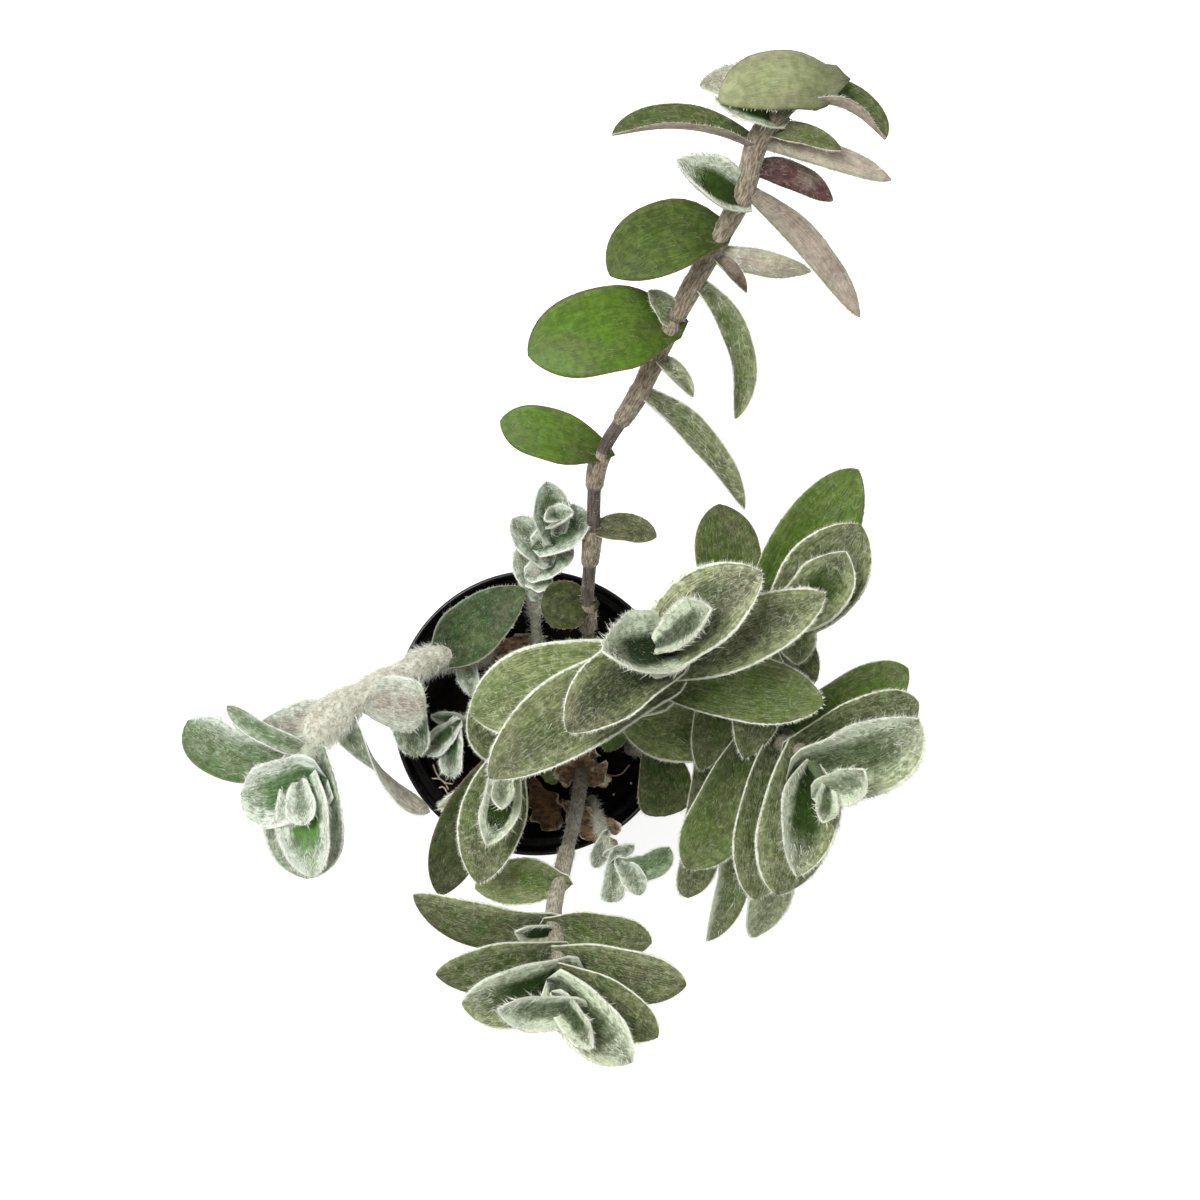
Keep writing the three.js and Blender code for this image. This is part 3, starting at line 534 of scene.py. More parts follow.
def makeVelvetGroup():  # colour, roughness and height of a blade under its lying hairs
    look, results = velvetLook, {"Color": "Color", "Roughness": "Float", "Height": "Float"}
    numbers = ("Across", "Along", "Wool", "Fresh", "Blush", "Under", "Tone", "Deep")
    inputs = {"Place": "Vector", **dict.fromkeys(numbers, "Float"), **dict.fromkeys(leafColours, "Color")}
    group, given, result = newGroup("velvetBlade", inputs, results)
    across, along, wool, fresh, blush, under, tone, deep = (given[key] for key in numbers)
    grains = ("zones", "brownZones", "patches", "fine")
    zones, brownZones, patches, fine = (grain(given["Place"], *look[key]) for key in grains)
    seed, outer = times(tone, 40), fromMiddle(across)
    streaks, flecks = (streaked(across, along, seed, *look[key]) for key in ("streaks", "flecks"))
    swirl = joined("TexNoise", {"Vector": given["Place"], "Scale": look["curlScale"], "Detail": 1.5,
                                "Distortion": look["curlTurn"]})
    curls = ramp(maths("ABSOLUTE", plus(swirl, -0.5)), 0, look["curlWidth"], 1, 0)

    # the blade itself: green, browner in places and at the tip, darker at its foot as painted shade
    aged = mixed(ramp(along, 0.4, 0.95, 0, look["tipBrown"]), given["Dull Green"], given["Tip Colour"])
    browned = mixed(ramp(brownZones, 0.42, 0.6, 0, look["patchBrown"]), aged, given["Tip Colour"])
    green = mixed(times(fresh, ramp(zones, 0.3, 0.62, 0.55, 1)), browned, given["Fresh Green"])
    lines = scaled(ramp(streaks, 0.34, 0.66, *look["streakLight"]), scaled(fresh, -0.55, 1), 1)
    toned = scaled(tone, look["toneLight"], -look["toneLight"] / 2)
    # each blade is darker towards its foot: painted shade where the leaves crowd round the stem
    light = times(ramp(along, 0, 0.4, look["footShade"], 1), lines)
    light = times(light, plus(ramp(patches, 0.34, 0.66, *look["patchLight"]), toned))
    blushed = times(blush, ramp(brownZones, 0.3, 0.6, 0.5, 1))
    sided = mixed(under, green, mixed(blushed, given["Under Colour"], given["Blush Colour"]))
    # the hollow of a cupped blade: partly its own bare green, partly painted shade
    hollow = times(deep, times(ramp(outer, 0.28, 0.72, 1, 0), ramp(along, 0.45, 0.85, 1, 0)))
    hollowGreenAndShade = mixed(times(fresh, 0.8), given["Shaded Hollow Colour"], given["Fresh Green"])
    shadedBlade = joined("HueSaturation", {"Value": light, "Color": mixed(hollow, sided, hollowGreenAndShade)})

    # the wool: thick towards the margins, partly as painted sheen, thin in the hollow, in patches, streaks
    # and curled strands
    felt = times(ramp(patches, 0.36, 0.64, 0.5, 1.25), ramp(streaks, 0.34, 0.66, 0.5, 1.3))
    # wool thickens towards the margins: partly real felt, partly painted sheen on the upturned sides
    woolAndSheen = times(maths("POWER", wool, look["woolPower"]), ramp(outer, 0.1, 0.9, *look["marginWoolSheen"]))
    thin = maths("MAXIMUM", scaled(hollow, -1, 1), 0)
    film = maths("MINIMUM", times(woolAndSheen, times(felt, thin)), 1)
    woolTint = mixed(ramp(wool, 0.4, 0.85), given["Wool Colour"], given["Young Wool Colour"])
    loose = maths("MAXIMUM", times(curls, ramp(patches, 0.4, 0.56)), times(ramp(flecks, 0.54, 0.66), 0.8))
    strands = times(loose, times(scaled(wool, look["strandWool"], 0.05), thin))
    strandTint = mixed(0.5, woolTint, given["Margin Colour"])
    stranded = mixed(strands, mixed(film, shadedBlade, woolTint), strandTint)

    # the margin: bare and brownish on smooth blades, a ragged white band on woolly ones
    inward = maths("SUBTRACT", plus(outer, scaled(fine, 0.1, -0.05)), scaled(wool, -look["bandWidth"], 0.975))
    band = ramp(maths("DIVIDE", inward, look["bandEdge"]), 0, 1, 0, 0.92)
    bare = mixed(ramp(outer, 0.93, 0.98, 0, look["bareMargin"]), stranded, given["Bare Margin Colour"])
    colour = mixed(times(band, ramp(wool, 0.02, 0.2)), bare, given["Margin Colour"])
    smooth, coarse = look["roughness"]
    roughness = plus(scaled(fine, coarse - smooth, smooth), times(fresh, -look["freshGloss"]))
    height = plus(times(strands, look["strandRelief"]), times(plus(streaks, film), look["feltRelief"]))
    for key, socket in zip(results, (colour, roughness, height)):
        group.links.new(socket, result[key])
    return group


def attribute(tree, name):
    return addNode(tree, "Attribute", attribute_name=name).outputs["Fac"]


def onSheet(tree):  # across and along a blade or a stem, from 0 to 1
    uv = addNode(tree, "UVMap", uv_map="blade").outputs[0]
    return addNode(tree, "SeparateXYZ", {0: uv}).outputs[:2]


def inPlace(tree):
    return addNode(tree, "TexCoord").outputs["Object"]


def newMaterial(name, constants):  # a Principled material, its tree and shader
    material = bpy.data.materials.new(name)
    material.use_nodes = True
    shader = material.node_tree.nodes["Principled BSDF"]
    for key, value in constants.items():
        shader.inputs[key].default_value = value
    return material, material.node_tree, shader


def paint(shader, colour, roughness, height=None, strength=0, depth=0):
    inputs = {"Base Color": colour, "Roughness": roughness}
    if height:
        inputs["Normal"] = joined("Bump", {"Height": height, "Strength": strength, "Distance": depth * mm})
    for key, socket in inputs.items():
        shader.id_data.links.new(socket, shader.inputs[key])


def makeLeafMaterial(slot, group):
    kind = leafSlots.index(slot)
    looks = {"Sheen Weight": leafSheen[kind], "Sheen Roughness": 0.4, "Sheen Tint": (0.8, 0.86, 0.66, 1),
             "Specular IOR Level": 0.25}
    material, tree, shader = newMaterial(slot, looks)
    across, along = onSheet(tree)
    given = {"Across": across, "Along": along, "Place": inPlace(tree)}
    given.update({key.title(): attribute(tree, key) for key in leafAttributes})
    given.update({key: tint(*colours[kind]) for key, colours in leafColours.items()})
    blade = addNode(tree, "Group", given, node_tree=group).outputs
    paint(shader, blade["Color"], blade["Roughness"], blade["Height"], strength=0.35, depth=0.25)
    return material


stemLook = {"joint": (50, 38, 34), "jointStreak": (96, 80, 70), "sheath": (110, 95, 74),
            "sheathHair": (168, 157, 137), "tuft": (220, 221, 205), "felt": (186, 182, 165),
            "young": (66, 88, 50), "youngHair": (214, 224, 196)}


def makeStemMaterial():
    material, tree, shader = newMaterial("hairyStem", {"Sheen Weight": 0.15, "Specular IOR Level": 0.25})
    colours = {key: tint(*colour) for key, colour in stemLook.items()}
    across, along = onSheet(tree)
    streaks = streaked(across, along, seed=12, acrossScale=22, alongScale=30)
    felt = streaked(across, along, seed=28, acrossScale=34, alongScale=90, rough=0.65)
    blotch = grain(inPlace(tree), scale=380, detail=3)
    sheath, wool, fresh = (attribute(tree, key) for key in ("under", "wool", "fresh"))
    joint = mixed(ramp(streaks, 0.4, 0.65), colours["joint"], colours["jointStreak"])
    sheathTint = mixed(ramp(blotch, 0.4, 0.7, 0, 0.3), colours["sheath"], colours["joint"])
    covered = mixed(ramp(felt, 0.4, 0.66), sheathTint, colours["sheathHair"])
    bark = mixed(ramp(sheath, 0, 0.08), joint, covered)
    skin = mixed(ramp(fresh, 0, 0.35, 0, 0.95), bark, colours["young"])
    tufts = mixed(ramp(blotch, 0.42, 0.62), colours["tuft"], colours["felt"])
    hairs = mixed(fresh, tufts, colours["youngHair"])
    bareTip = scaled(ramp(fresh, 0, 0.35), ramp(wool, 0.9, 1.2, -0.8, 0), 1)
    film = times(times(wool, ramp(felt, 0.3, 0.62, 0.2, 0.75)), bareTip)
    roughness = ramp(felt, 0.3, 0.7, 0.65, 0.9)
    paint(shader, mixed(film, skin, hairs), roughness, plus(streaks, felt), strength=0.5, depth=0.3)
    return material


hairLook = {"thin": (90, 100, 56), "thick": (248, 249, 238), "patch": (190, 192, 168)}


def makeHairMaterial():
    material, tree, shader = newMaterial("whiteHair", {"Sheen Weight": 0.2, "Specular IOR Level": 0.3})
    thin, thick, patchTint = (tint(*colour) for colour in hairLook.values())
    patch = grain(inPlace(tree), scale=300)
    pale = mixed(attribute(tree, "tone"), thin, thick)
    paint(shader, mixed(ramp(patch, 0.4, 0.7, 0, 0.3), pale, patchTint), ramp(patch, 0.3, 0.7, 0.5, 0.75))
    return material


# Mottled finishes: two blotched colours and the flecks on them, with the scale of the blotches
mottledLooks = {
    "peat": dict(colours=((6, 5, 4), (18, 14, 11), (44, 34, 26)), scale=500, roughness=(0.85, 1), relief=0.8,
                 constants={"Specular IOR Level": 0.1}),
    "perlite": dict(colours=((214, 214, 208), (236, 236, 232), (180, 178, 170)), scale=900,
                    roughness=(0.7, 0.95), relief=0.3),
    "paleRoot": dict(colours=((196, 184, 160), (164, 148, 124), (224, 216, 200)), scale=700,
                     roughness=(0.6, 0.9), relief=0.2),
    "dryBrown": dict(colours=((58, 42, 26), (116, 84, 50), (150, 118, 78)), scale=260,
                     roughness=(0.55, 0.85), relief=0.5, stretch=(1, 3, 1), edge=(206, 188, 158)),
    "dryTan": dict(colours=((186, 156, 122), (96, 70, 46), (230, 212, 182)), scale=330,
                   roughness=(0.5, 0.8), relief=0.6, stretch=(1, 2.4, 1), edge=(238, 228, 204)),
    "wiltedYellow": dict(colours=((176, 182, 124), (140, 150, 90), (206, 206, 158)), scale=300,
                         roughness=(0.5, 0.75), relief=0.3),
    "glossBlack": dict(colours=((8, 8, 9), (12, 12, 13), (22, 22, 23)), scale=90, roughness=(0.24, 0.42),
                       relief=0.02, constants={"Coat Weight": 0.2, "Coat Roughness": 0.12,
                                               "Specular IOR Level": 0.22}),
    "paleFloor": dict(colours=((248, 248, 247), (246, 246, 245), (250, 250, 250)), scale=6,
                      roughness=(0.8, 0.9), relief=0.01,
                      constants={"Emission Color": (1, 1, 1, 1), "Emission Strength": 0.62}),
}


def makeMottled(name, colours, scale, roughness, relief, stretch=(1, 1, 1), edge=None, constants=None):
    material, tree, shader = newMaterial(name, constants or {})
    first, second, flecks = (tint(*colour) for colour in colours)
    mapped = joined("Mapping", {"Vector": inPlace(tree), "Scale": stretch})
    broad, fine = grain(mapped, scale, 4, 0.6), grain(mapped, scale * 5, 4, 0.7)
    colour = mixed(ramp(fine, 0.5, 0.75), mixed(ramp(broad, 0.35, 0.65), first, second), flecks)
    if edge:  # a paler, ragged margin along a blade
        across, along = onSheet(tree)
        outer = plus(maths("MAXIMUM", fromMiddle(across), along), scaled(fine, 0.3, -0.15))
        colour = mixed(ramp(outer, 0.84, 0.96, 0, 0.85), colour, tint(*edge))
    paint(shader, colour, ramp(fine, 0.3, 0.7, *roughness), plus(broad, fine), strength=0.6, depth=relief)
    return material


velvetGroup = makeVelvetGroup()
leafMaterials = {slot: makeLeafMaterial(slot, velvetGroup) for slot in leafSlots}
stemMaterial, hairMaterial = makeStemMaterial(), makeHairMaterial()
mottled = {name: makeMottled(name, **look) for name, look in mottledLooks.items()}
print("materials made")


# Leaves stand at mm along the shoot's route, and turn and rise in degrees. What a leaf doesn't say
# is as in the shoot's habit, and else as here. arch and bow bend its middle up and sideways, and lift
# turns its face from along the stem (0) to straight up (1). widest, blunt, tip and clasp give its
# outline, fold the curl of its sides at the base and the tip, and back how far it reaches behind the
# stem. wool is how woolly it is, and lean more so on one side. fresh is how green, deep how dark its
# hollow, partly in its own green and partly as painted shade, tone how light, and shade lighter on
# one side. turned shows its underside, in blush.
plainLeaf = dict(arch=0.08, lift=0.6, widest=0.45, blunt=2.2, clasp=0.5, fold=(1, 0.35), wool=0.3, fresh=0.3)

crownShoot = {
    "node": "shoot_crown", "slot": "velvet_leaf", "seed": 11, "stemWool": 0.7, "radius": (2.6, 1.6),
    "sheath": 0.9,
    "route": [(29, -2, 52), (30, 2, 80), (34, 9, 120), (39, 15, 152), (41, 21, 185), (40, 27, 200)],
    "habit": dict(lift=0.1, blunt=2, wool=0.35, fresh=0.1),
    "leaves": [
        leaf(33, 251, 18, 18, 12, wool=0.1, fresh=0.8),
        leaf(61, 194, 24, 29, 17),
        leaf(70, 5, 25, 17, 14),
        leaf(92, 189, 15, 58, 31, bow=0.04, widest=0.55, blunt=2.4, clasp=0.8, wool=0.42, fresh=0.5,
             shade=0.5, tone=1.2),
        leaf(105, 352, 14, 53, 22, widest=0.5, blunt=2.6, wool=0.22, fresh=0.6, shade=-0.3, tone=1.2),
        leaf(118, 211, 14, 61, 26, bow=0.05, clasp=0.8, fresh=0.25, shade=0.8),
        leaf(129, 25, 13, 53, 20, bow=0.03, widest=0.5, wool=0.45, fresh=0.2, tone=0.9),
        leaf(138, 215, 27, 38, 22, bow=0.05, clasp=0.8, wool=0.3, fresh=0, deep=0.5, shade=0.5, tone=0),
        leaf(145, 40, 25, 39, 25, bow=-0.02, clasp=0.7, wool=0.5, fresh=0, deep=0.5),
        leaf(149, 181, 52, 28, 26, arch=-0.06, bow=-0.03, widest=0.35, blunt=1.6, clasp=0.9,
             fold=(1.2, 0.9), wool=0.9, deep=1, tone=0.8),
        leaf(152, 39, 55, 28, 16, arch=-0.06, bow=-0.02, back=3.5, widest=0.5, clasp=0.55, fold=(1.3, 1),
             wool=0.95, deep=0.8, tone=1),
    ],
}

backRightShoot = {
    "node": "shoot_back_right", "slot": "velvet_leaf", "seed": 12, "stemWool": 0.7, "radius": (2.6, 1.6),
    "sheath": 0.9,
    "route": [(34, 14, 52), (37, 15, 80), (53, 18, 108), (66, 24, 130), (78, 31, 147), (83, 38, 160)],
    "habit": dict(lift=0.45, blunt=2, wool=0.25, fresh=0.35),
    "leaves": [
        leaf(82, 257, 12, 40, 17, widest=0.5),
        leaf(88, 98, 16, 48, 24, bow=-0.04, widest=0.55, blunt=3.5, wool=0.1, fresh=0.45),
        leaf(102, 260, 11, 40, 19, widest=0.5),
        leaf(98, 60, 14, 63, 27, bow=-0.05, widest=0.5, blunt=2.6, wool=0.12, fresh=0.75, tone=1.2),
        leaf(109, 302, 19, 22, 13),
        leaf(112, 53, 23, 41, 27, bow=0.01, widest=0.5, blunt=2.2, wool=0.32),
        leaf(116, 278, 41, 19, 15, wool=0.5),
        leaf(120, 52, 40, 30, 21, arch=-0.02, bow=0.07, widest=0.5, blunt=2.4, clasp=0.8, fold=(1.2, 0.8),
             wool=0.5, deep=0.9),
        leaf(122, 219, 66, 17, 12, arch=-0.1, clasp=0.8, fold=(1.3, 1.1), wool=0.85, deep=0.8),
        leaf(123, 56, 66, 16, 12, arch=-0.1, clasp=0.8, fold=(1.3, 1.1), wool=0.85, deep=0.8),
    ],
}

rightShoot = {
    "node": "shoot_right", "slot": "velvet_leaf", "seed": 13, "stemWool": 0.7, "radius": (2.8, 1.7),
    "sheath": 0.9,
    "route": [(33, -15, 52), (34, -13, 80), (46, -10, 104), (59, -7, 122), (75, -5, 137), (85, -8, 152),
              (91.2, -17.2, 168)],
    "habit": dict(lift=0.55),
    "leaves": [
        leaf(46, 278, 4, 24, 20, arch=0.15, widest=0.55, blunt=4.5, wool=0.1, fresh=0.35, tone=0.3),
        leaf(83, 170, 4, 34, 22, arch=0.12, wool=0.4, fresh=0.6, tone=2),
        leaf(74, 265, -12, 55, 15, arch=0.12, widest=0.5, blunt=5, fresh=0.2),
        leaf(85, 266, -18, 74, 15, arch=0.15, widest=0.55, blunt=2.6, fold=(1, 0.9), wool=0.45, lean=0.3,
             tone=1.2),
        leaf(92, 245, 8, 46, 24, arch=0.12, widest=0.5, blunt=2.8, clasp=0.4, wool=0.22, fresh=0.6,
             tone=1.1),
        leaf(99, 270, -20, 73, 17, arch=0.15, widest=0.6, blunt=3, wool=0.55, tone=1.4),
        leaf(103, 28, 5, 49, 21, widest=0.5, blunt=3.2, wool=0.15, fresh=0.8, tone=0.9),
        leaf(107, 260, 8, 50, 26, bow=0.02, blunt=2.6, shade=0.5, tone=0.3),
        leaf(115, 22, 9, 41, 21, widest=0.5, blunt=3.2),
        leaf(117, 260, 10, 45, 26, blunt=2.6, wool=0.35, lean=0.15, shade=0.5, tone=0.3),
        leaf(125, 26, 26, 37.5, 28, arch=0, bow=0.1, blunt=2.3, clasp=0.8, fold=(1.1, 0.6), wool=0.76,
             lean=-0.22, deep=0.8, tone=1.3),
        leaf(125, 259, 27, 37, 23, arch=0, back=2.5, widest=0.4, blunt=2, clasp=0.25, fold=(1.2, 0.8),
             wool=0.65, lean=0.25, deep=1, tone=0.8),
        leaf(138, 38, 54, 19, 14, arch=-0.06, bow=0.1, lift=1, clasp=0.9, fold=(1.1, 0.9), wool=0.95,
             deep=0.5, tone=1),
        leaf(139, 249, 58, 17.5, 8.5, arch=-0.08, bow=-0.03, lift=1, back=1.5, widest=0.5, clasp=0.6,
             fold=(1.1, 0.9), wool=0.95, deep=0.8, tone=1),
    ],
}

frontShoot = {
    "node": "shoot_front", "slot": "velvet_leaf", "seed": 14, "stemWool": 0.55, "radius": (2.9, 1.7),
    "sheath": 0.8,
    "route": [(16, -19, 52), (16, -21, 78), (14, -34, 98), (10, -50, 112), (7, -64, 121), (9, -75, 129),
              (11, -83, 140), (12.5, -89, 152)],
    "habit": dict(fresh=0.25),
    "leaves": [
        leaf(78, 183, 5, 28, 17, bow=0.09, lift=0.9, widest=0.4, blunt=2.6, wool=0.36, fresh=0.35,
             shade=0.6, tone=3),
        leaf(91, 168, 10, 47, 18, bow=-0.07, wool=0.25, lean=0.25, shade=0.4),
        leaf(93, 352, 12, 33, 19, bow=-0.07, widest=0.5, blunt=3, fresh=0.4),
        leaf(95, 172, 42, 17, 9, arch=0, fold=(1, 0.8), wool=0.75, deep=2),
        leaf(102, 188, 16, 41, 19, bow=0.02, widest=0.5, lean=0.15),
        leaf(104, 350, 16, 43, 20, bow=-0.04, widest=0.5, blunt=3, lean=-0.15),
        leaf(112, 191, 24, 35, 22, bow=-0.02, blunt=2.4, clasp=0.8, wool=0.6, lean=0.2, deep=1),
        leaf(115, 332, 15, 35, 19, bow=-0.06, widest=0.5, clasp=0.8),
        leaf(121, 319, 27, 31, 21, bow=-0.02, clasp=0.8, fold=(1.1, 0.6), wool=0.72, lean=-0.1,
             fresh=0.3, deep=0.8, tone=0.8),
        leaf(129, 312, 50, 18, 12, arch=-0.06, back=7, clasp=1, fold=(1.4, 1.1), wool=1, deep=0.9,
             tone=1),
        leaf(128, 172, 35, 26, 15, arch=-0.02, bow=-0.02, widest=0.4, clasp=1, fold=(1.4, 0.9), wool=0.95,
             deep=0.7, tone=1.2),
    ],
}

frontLeftShoot = {
    "node": "shoot_front_left", "slot": "velvet_leaf", "seed": 15, "stemWool": 0.8, "radius": (2.4, 1.5),
    "sheath": 0.8,
    "route": [(-3, -15, 52), (-2, -13, 80), (-5, -12, 105), (-8, -13, 128), (-8, -15, 144)],
    "habit": dict(lift=0.3, blunt=2, fold=(1, 0.4), wool=0.35),
    "leaves": [
        leaf(38, 213, 7, 37, 6, bow=-0.05, widest=0.7, blunt=3, wool=0.7),
        leaf(45, 240, 7, 57, 20, bow=0.06, widest=0.5, blunt=2.6, clasp=0.7, wool=0.02, fresh=0.2,
             tone=-0.3),
        leaf(56, 63, 31, 24, 15),
        leaf(65, 119, 34, 28, 19),
        leaf(75, 257, 16, 41, 23, wool=0.3, tone=0.3),
        leaf(83, 55, 41, 21, 16, wool=0.6),
        leaf(88, 258, 36, 28, 15, arch=-0.02, bow=-0.05, blunt=2.6, clasp=0.8, fold=(1.4, 0.9), wool=0.85,
             deep=2.2),
        leaf(92, 272, 63, 21, 10, arch=-0.1, blunt=3.4, clasp=0.8, fold=(1.7, 1.3), wool=1, deep=0.4,
             tone=1),
        leaf(92, 107, 78, 21, 10, arch=-0.1, clasp=0.8, fold=(1.7, 1.3), wool=1, deep=0.3, tone=1),
    ],
}

leftShoot = {
    "node": "shoot_left", "slot": "woolly_leaf", "seed": 16, "stemWool": 1.8, "radius": (4.6, 2.2),
    "sheath": 0.9, "swellings": [(64, 14, 1.2), (90, 15, 3.6)],
    "route": [(-20, 20, 56), (-21, 21, 82), (-33, 20, 97), (-46, 14, 103), (-62, 5, 107), (-72, -4, 111),
              (-76, -14, 116), (-76.7, -20.5, 119.5)],
    "habit": dict(lift=0.8, blunt=4, fold=(1, 0.4), wool=0.6, fresh=0.2),
    "leaves": [
        leaf(32, 274, -4, 15, 9, lift=0.5, blunt=2),
        leaf(44, 39, 15, 38, 22, widest=0.35, blunt=2, wool=0.05, fresh=0.4, tone=-0.3),
        leaf(57, 272, -11, 31, 14, widest=0.55, blunt=3, wool=0.4),
        leaf(77, 352, 16, 25, 19, arch=0.05, widest=0.6, fold=(-0.6, -0.3), blush=0.3, turned=1),
        leaf(85, 310, -10, 47, 13, arch=0.02, bow=0.05, twist=130, widest=0.3, blunt=5, clasp=0.9,
             fold=(0.6, 0.8), wool=0.4),
        leaf(90, 180, 21, 22, 17, arch=0.02, bow=-0.06, lift=0.9, widest=0.3, blunt=1.6, clasp=0.9,
             fold=(-0.7, -0.4), turned=1),
        leaf(102, 149, 18, 31, 8, bow=-0.04, lift=0.9, widest=0.3, blunt=6, fold=(0.9, 0.9), wool=0.5,
             fresh=0.5),
        leaf(100, 168, 9, 41, 20, bow=-0.17, back=3, widest=0.6, wool=0.42, lean=0.38, fresh=0.5, tone=0.9),
        leaf(101, 268, -5, 45, 29, lift=0.9, back=2.5, widest=0.5, blunt=2.6, wool=0.45, tone=1.8),
        leaf(114, 190, 20, 20, 24, bow=-0.08, lift=0.9, back=8, widest=0.4, clasp=1, fold=(1, 0.6),
             wool=0.8, fresh=0.7, deep=0.9),
        leaf(110, 277.5, 9, 35, 21, back=3, blunt=2.4, clasp=0.55, fold=(1.1, 0.9), wool=0.8, fresh=1,
             deep=1.1, tone=1.6),
        leaf(119, 281, 34, 16.5, 12, lift=1, back=1, widest=0.7, blunt=3.4, clasp=0.4, fold=(1.2, 1),
             wool=1, deep=0.4, tone=1),
    ],
}

smallShoot = {
    "node": "shoot_small", "slot": "woolly_leaf", "seed": 17, "stemWool": 1.3, "radius": (2.2, 1.3),
    "sheath": 0.6,
    "route": [(0, 21, 56), (0, 25, 80), (0, 41, 98), (2, 52, 112), (6, 61, 122), (8, 66, 130)],
    "habit": dict(arch=0.05, blunt=2.4, tip=0.6, clasp=0.7, fold=(1, 0.5), wool=0.6, fresh=0.25),
    "leaves": [
        leaf(52, 110, 23, 17, 11),
        leaf(56, 0, 35, 7, 9),
        leaf(62, 32, 24, 16, 12),
        leaf(70, 128, 25, 17, 13),
        leaf(77, 32, 30, 19, 16, fresh=0.5, deep=0.8),
        leaf(83, 95, 43, 21, 14, fold=(1.2, 0.8), fresh=0.4, deep=0.8),
        leaf(88, 21, 63, 15, 10, fold=(1.6, 1.2), wool=0.85, deep=0.6),
        leaf(91, 200, 72, 11, 8, fold=(1.7, 1.3), wool=0.9, deep=0.4),
    ],
}

tallShoot = {
    "node": "shoot_tall", "slot": "bright_leaf", "seed": 18, "stemWool": 0.12, "stemHairs": 0.5,
    "radius": (2.2, 2.2), "sheath": 1.3,
    "route": [(19, 13, 52), (19, 18, 80), (18, 38, 108), (20, 62, 127), (22, 84, 140), (34, 103, 154),
              (43, 121, 164), (53, 139, 174), (64, 158, 187), (68, 172, 195), (75, 179, 201),
              (86, 184, 205)],
    "habit": dict(lift=0.8, widest=0.42, clasp=0.4, fold=(0.9, 0.35), wool=0.15, fresh=0.4, blush=0.3),
    "leaves": [
        # this low leaf's dark tone is painted shade, as it lies under the others
        leaf(63, 182, 15, 16, 17, lift=0.9, blunt=4, wool=0.03, fresh=0.3, tone=-0.6),
        leaf(94, 354, 5, 21, 10, bow=-0.08, blunt=3, fresh=0.1),
        leaf(123, 164, 10, 34, 17, lift=1, widest=0.45, blunt=3.4, fold=(0.9, 0.2), wool=0, fresh=0.9),
        leaf(148, 313, -15, 51, 12, arch=0, bow=-0.08, fold=(1.2, 1.2), wool=0.4),
        leaf(160, 312, 9, 17, 8, lift=0.5, fold=(0.9, 0.8), wool=0.5, fresh=0.1),
        leaf(171, 193, 9, 45, 27, bow=0.04, lift=1, widest=0.38, blunt=3.2, fold=(0.9, 0.2), wool=0,
             fresh=1),
        leaf(172, 131, 36, 14, 9, fold=(0.9, 0.8), wool=0.5),
        leaf(187, 288, -16, 44, 11, bow=-0.14, blunt=3, fold=(1.2, 1.2), wool=0.35),
        leaf(197, 312, -3, 16, 6, lift=0.6, fold=(0.9, 0.9), blush=1, turned=0.8),
        leaf(197, 351, -9, 31, 9, roll=70, lift=0.3, fold=(-0.8, -0.6), wool=0.5, turned=1),
        leaf(203, 202, 10, 36, 22, bow=0.12, lift=1, blunt=3, fold=(0.9, 0.2), wool=0, fresh=0.6),
        leaf(215, 155, 30, 24, 19, bow=-0.1, lift=0.7, back=3, clasp=0.6, fold=(1.4, 1.2), wool=0.85,
             deep=1.2, tone=0.4),
        leaf(219, 314, -11, 51, 10, bow=-0.05, blunt=3, fold=(-1, -0.7), wool=0.3, blush=0.5, turned=1),
        leaf(225, 342, -15, 27, 10, bow=-0.1, blunt=3, fold=(-0.9, -0.7), wool=0.1, blush=1, turned=1),
        leaf(231, 178, 11, 42, 17, bow=0.07, roll=48, lift=0.9, widest=0.5, fold=(1.1, 0.9), wool=0.1,
             fresh=0.3),
        leaf(233, 346, -9, 41, 9, bow=-0.03, blunt=3, fold=(-0.9, -0.7), wool=0.4, turned=1),
        leaf(236, 345, 7, 23, 7, bow=-0.04, fresh=0.1),
        leaf(241, 173, 33, 21, 11, clasp=0.7, wool=0.7, deep=1.2),
        leaf(245, 164, -2, 25, 12, bow=0.12, lift=0.9, wool=0.6, blush=0.4, turned=0.7),
        leaf(250, 337, -6, 27, 20, bow=-0.2, roll=-48, fold=(1.1, 1), wool=0.1, fresh=0.3),
        leaf(258, 192, 13, 32, 18, bow=0.12, lift=1, widest=0.4, clasp=0.8, fold=(-0.5, -0.5), wool=0.02,
             fresh=1, turned=0.4, tone=1.7),
    ],
}

frontSprig = {
    "node": "sprig_front", "slot": "woolly_leaf", "seed": 19, "stemWool": 1.4, "radius": (1.6, 1.1),
    "sheath": 0.4,
    "route": [(19, -32, 56), (20, -32, 82), (23, -40, 98), (26, -46, 103), (30, -51, 106)],
    "habit": dict(arch=0.05, tip=0.6, clasp=0.6, fold=(1, 0.5), wool=0.6, fresh=0.2),
    "leaves": [
        leaf(47, 253, -1, 11, 7),
        leaf(53, 20, 33, 10, 6),
        leaf(55, 266, -4, 16, 9, widest=0.7, blunt=4),
        leaf(57, 17, 17, 19, 12, bow=0.2, blunt=3, wool=0.35, fresh=0.9),
        leaf(59, 302, 6, 12, 9, bow=-0.1),
    ],
}

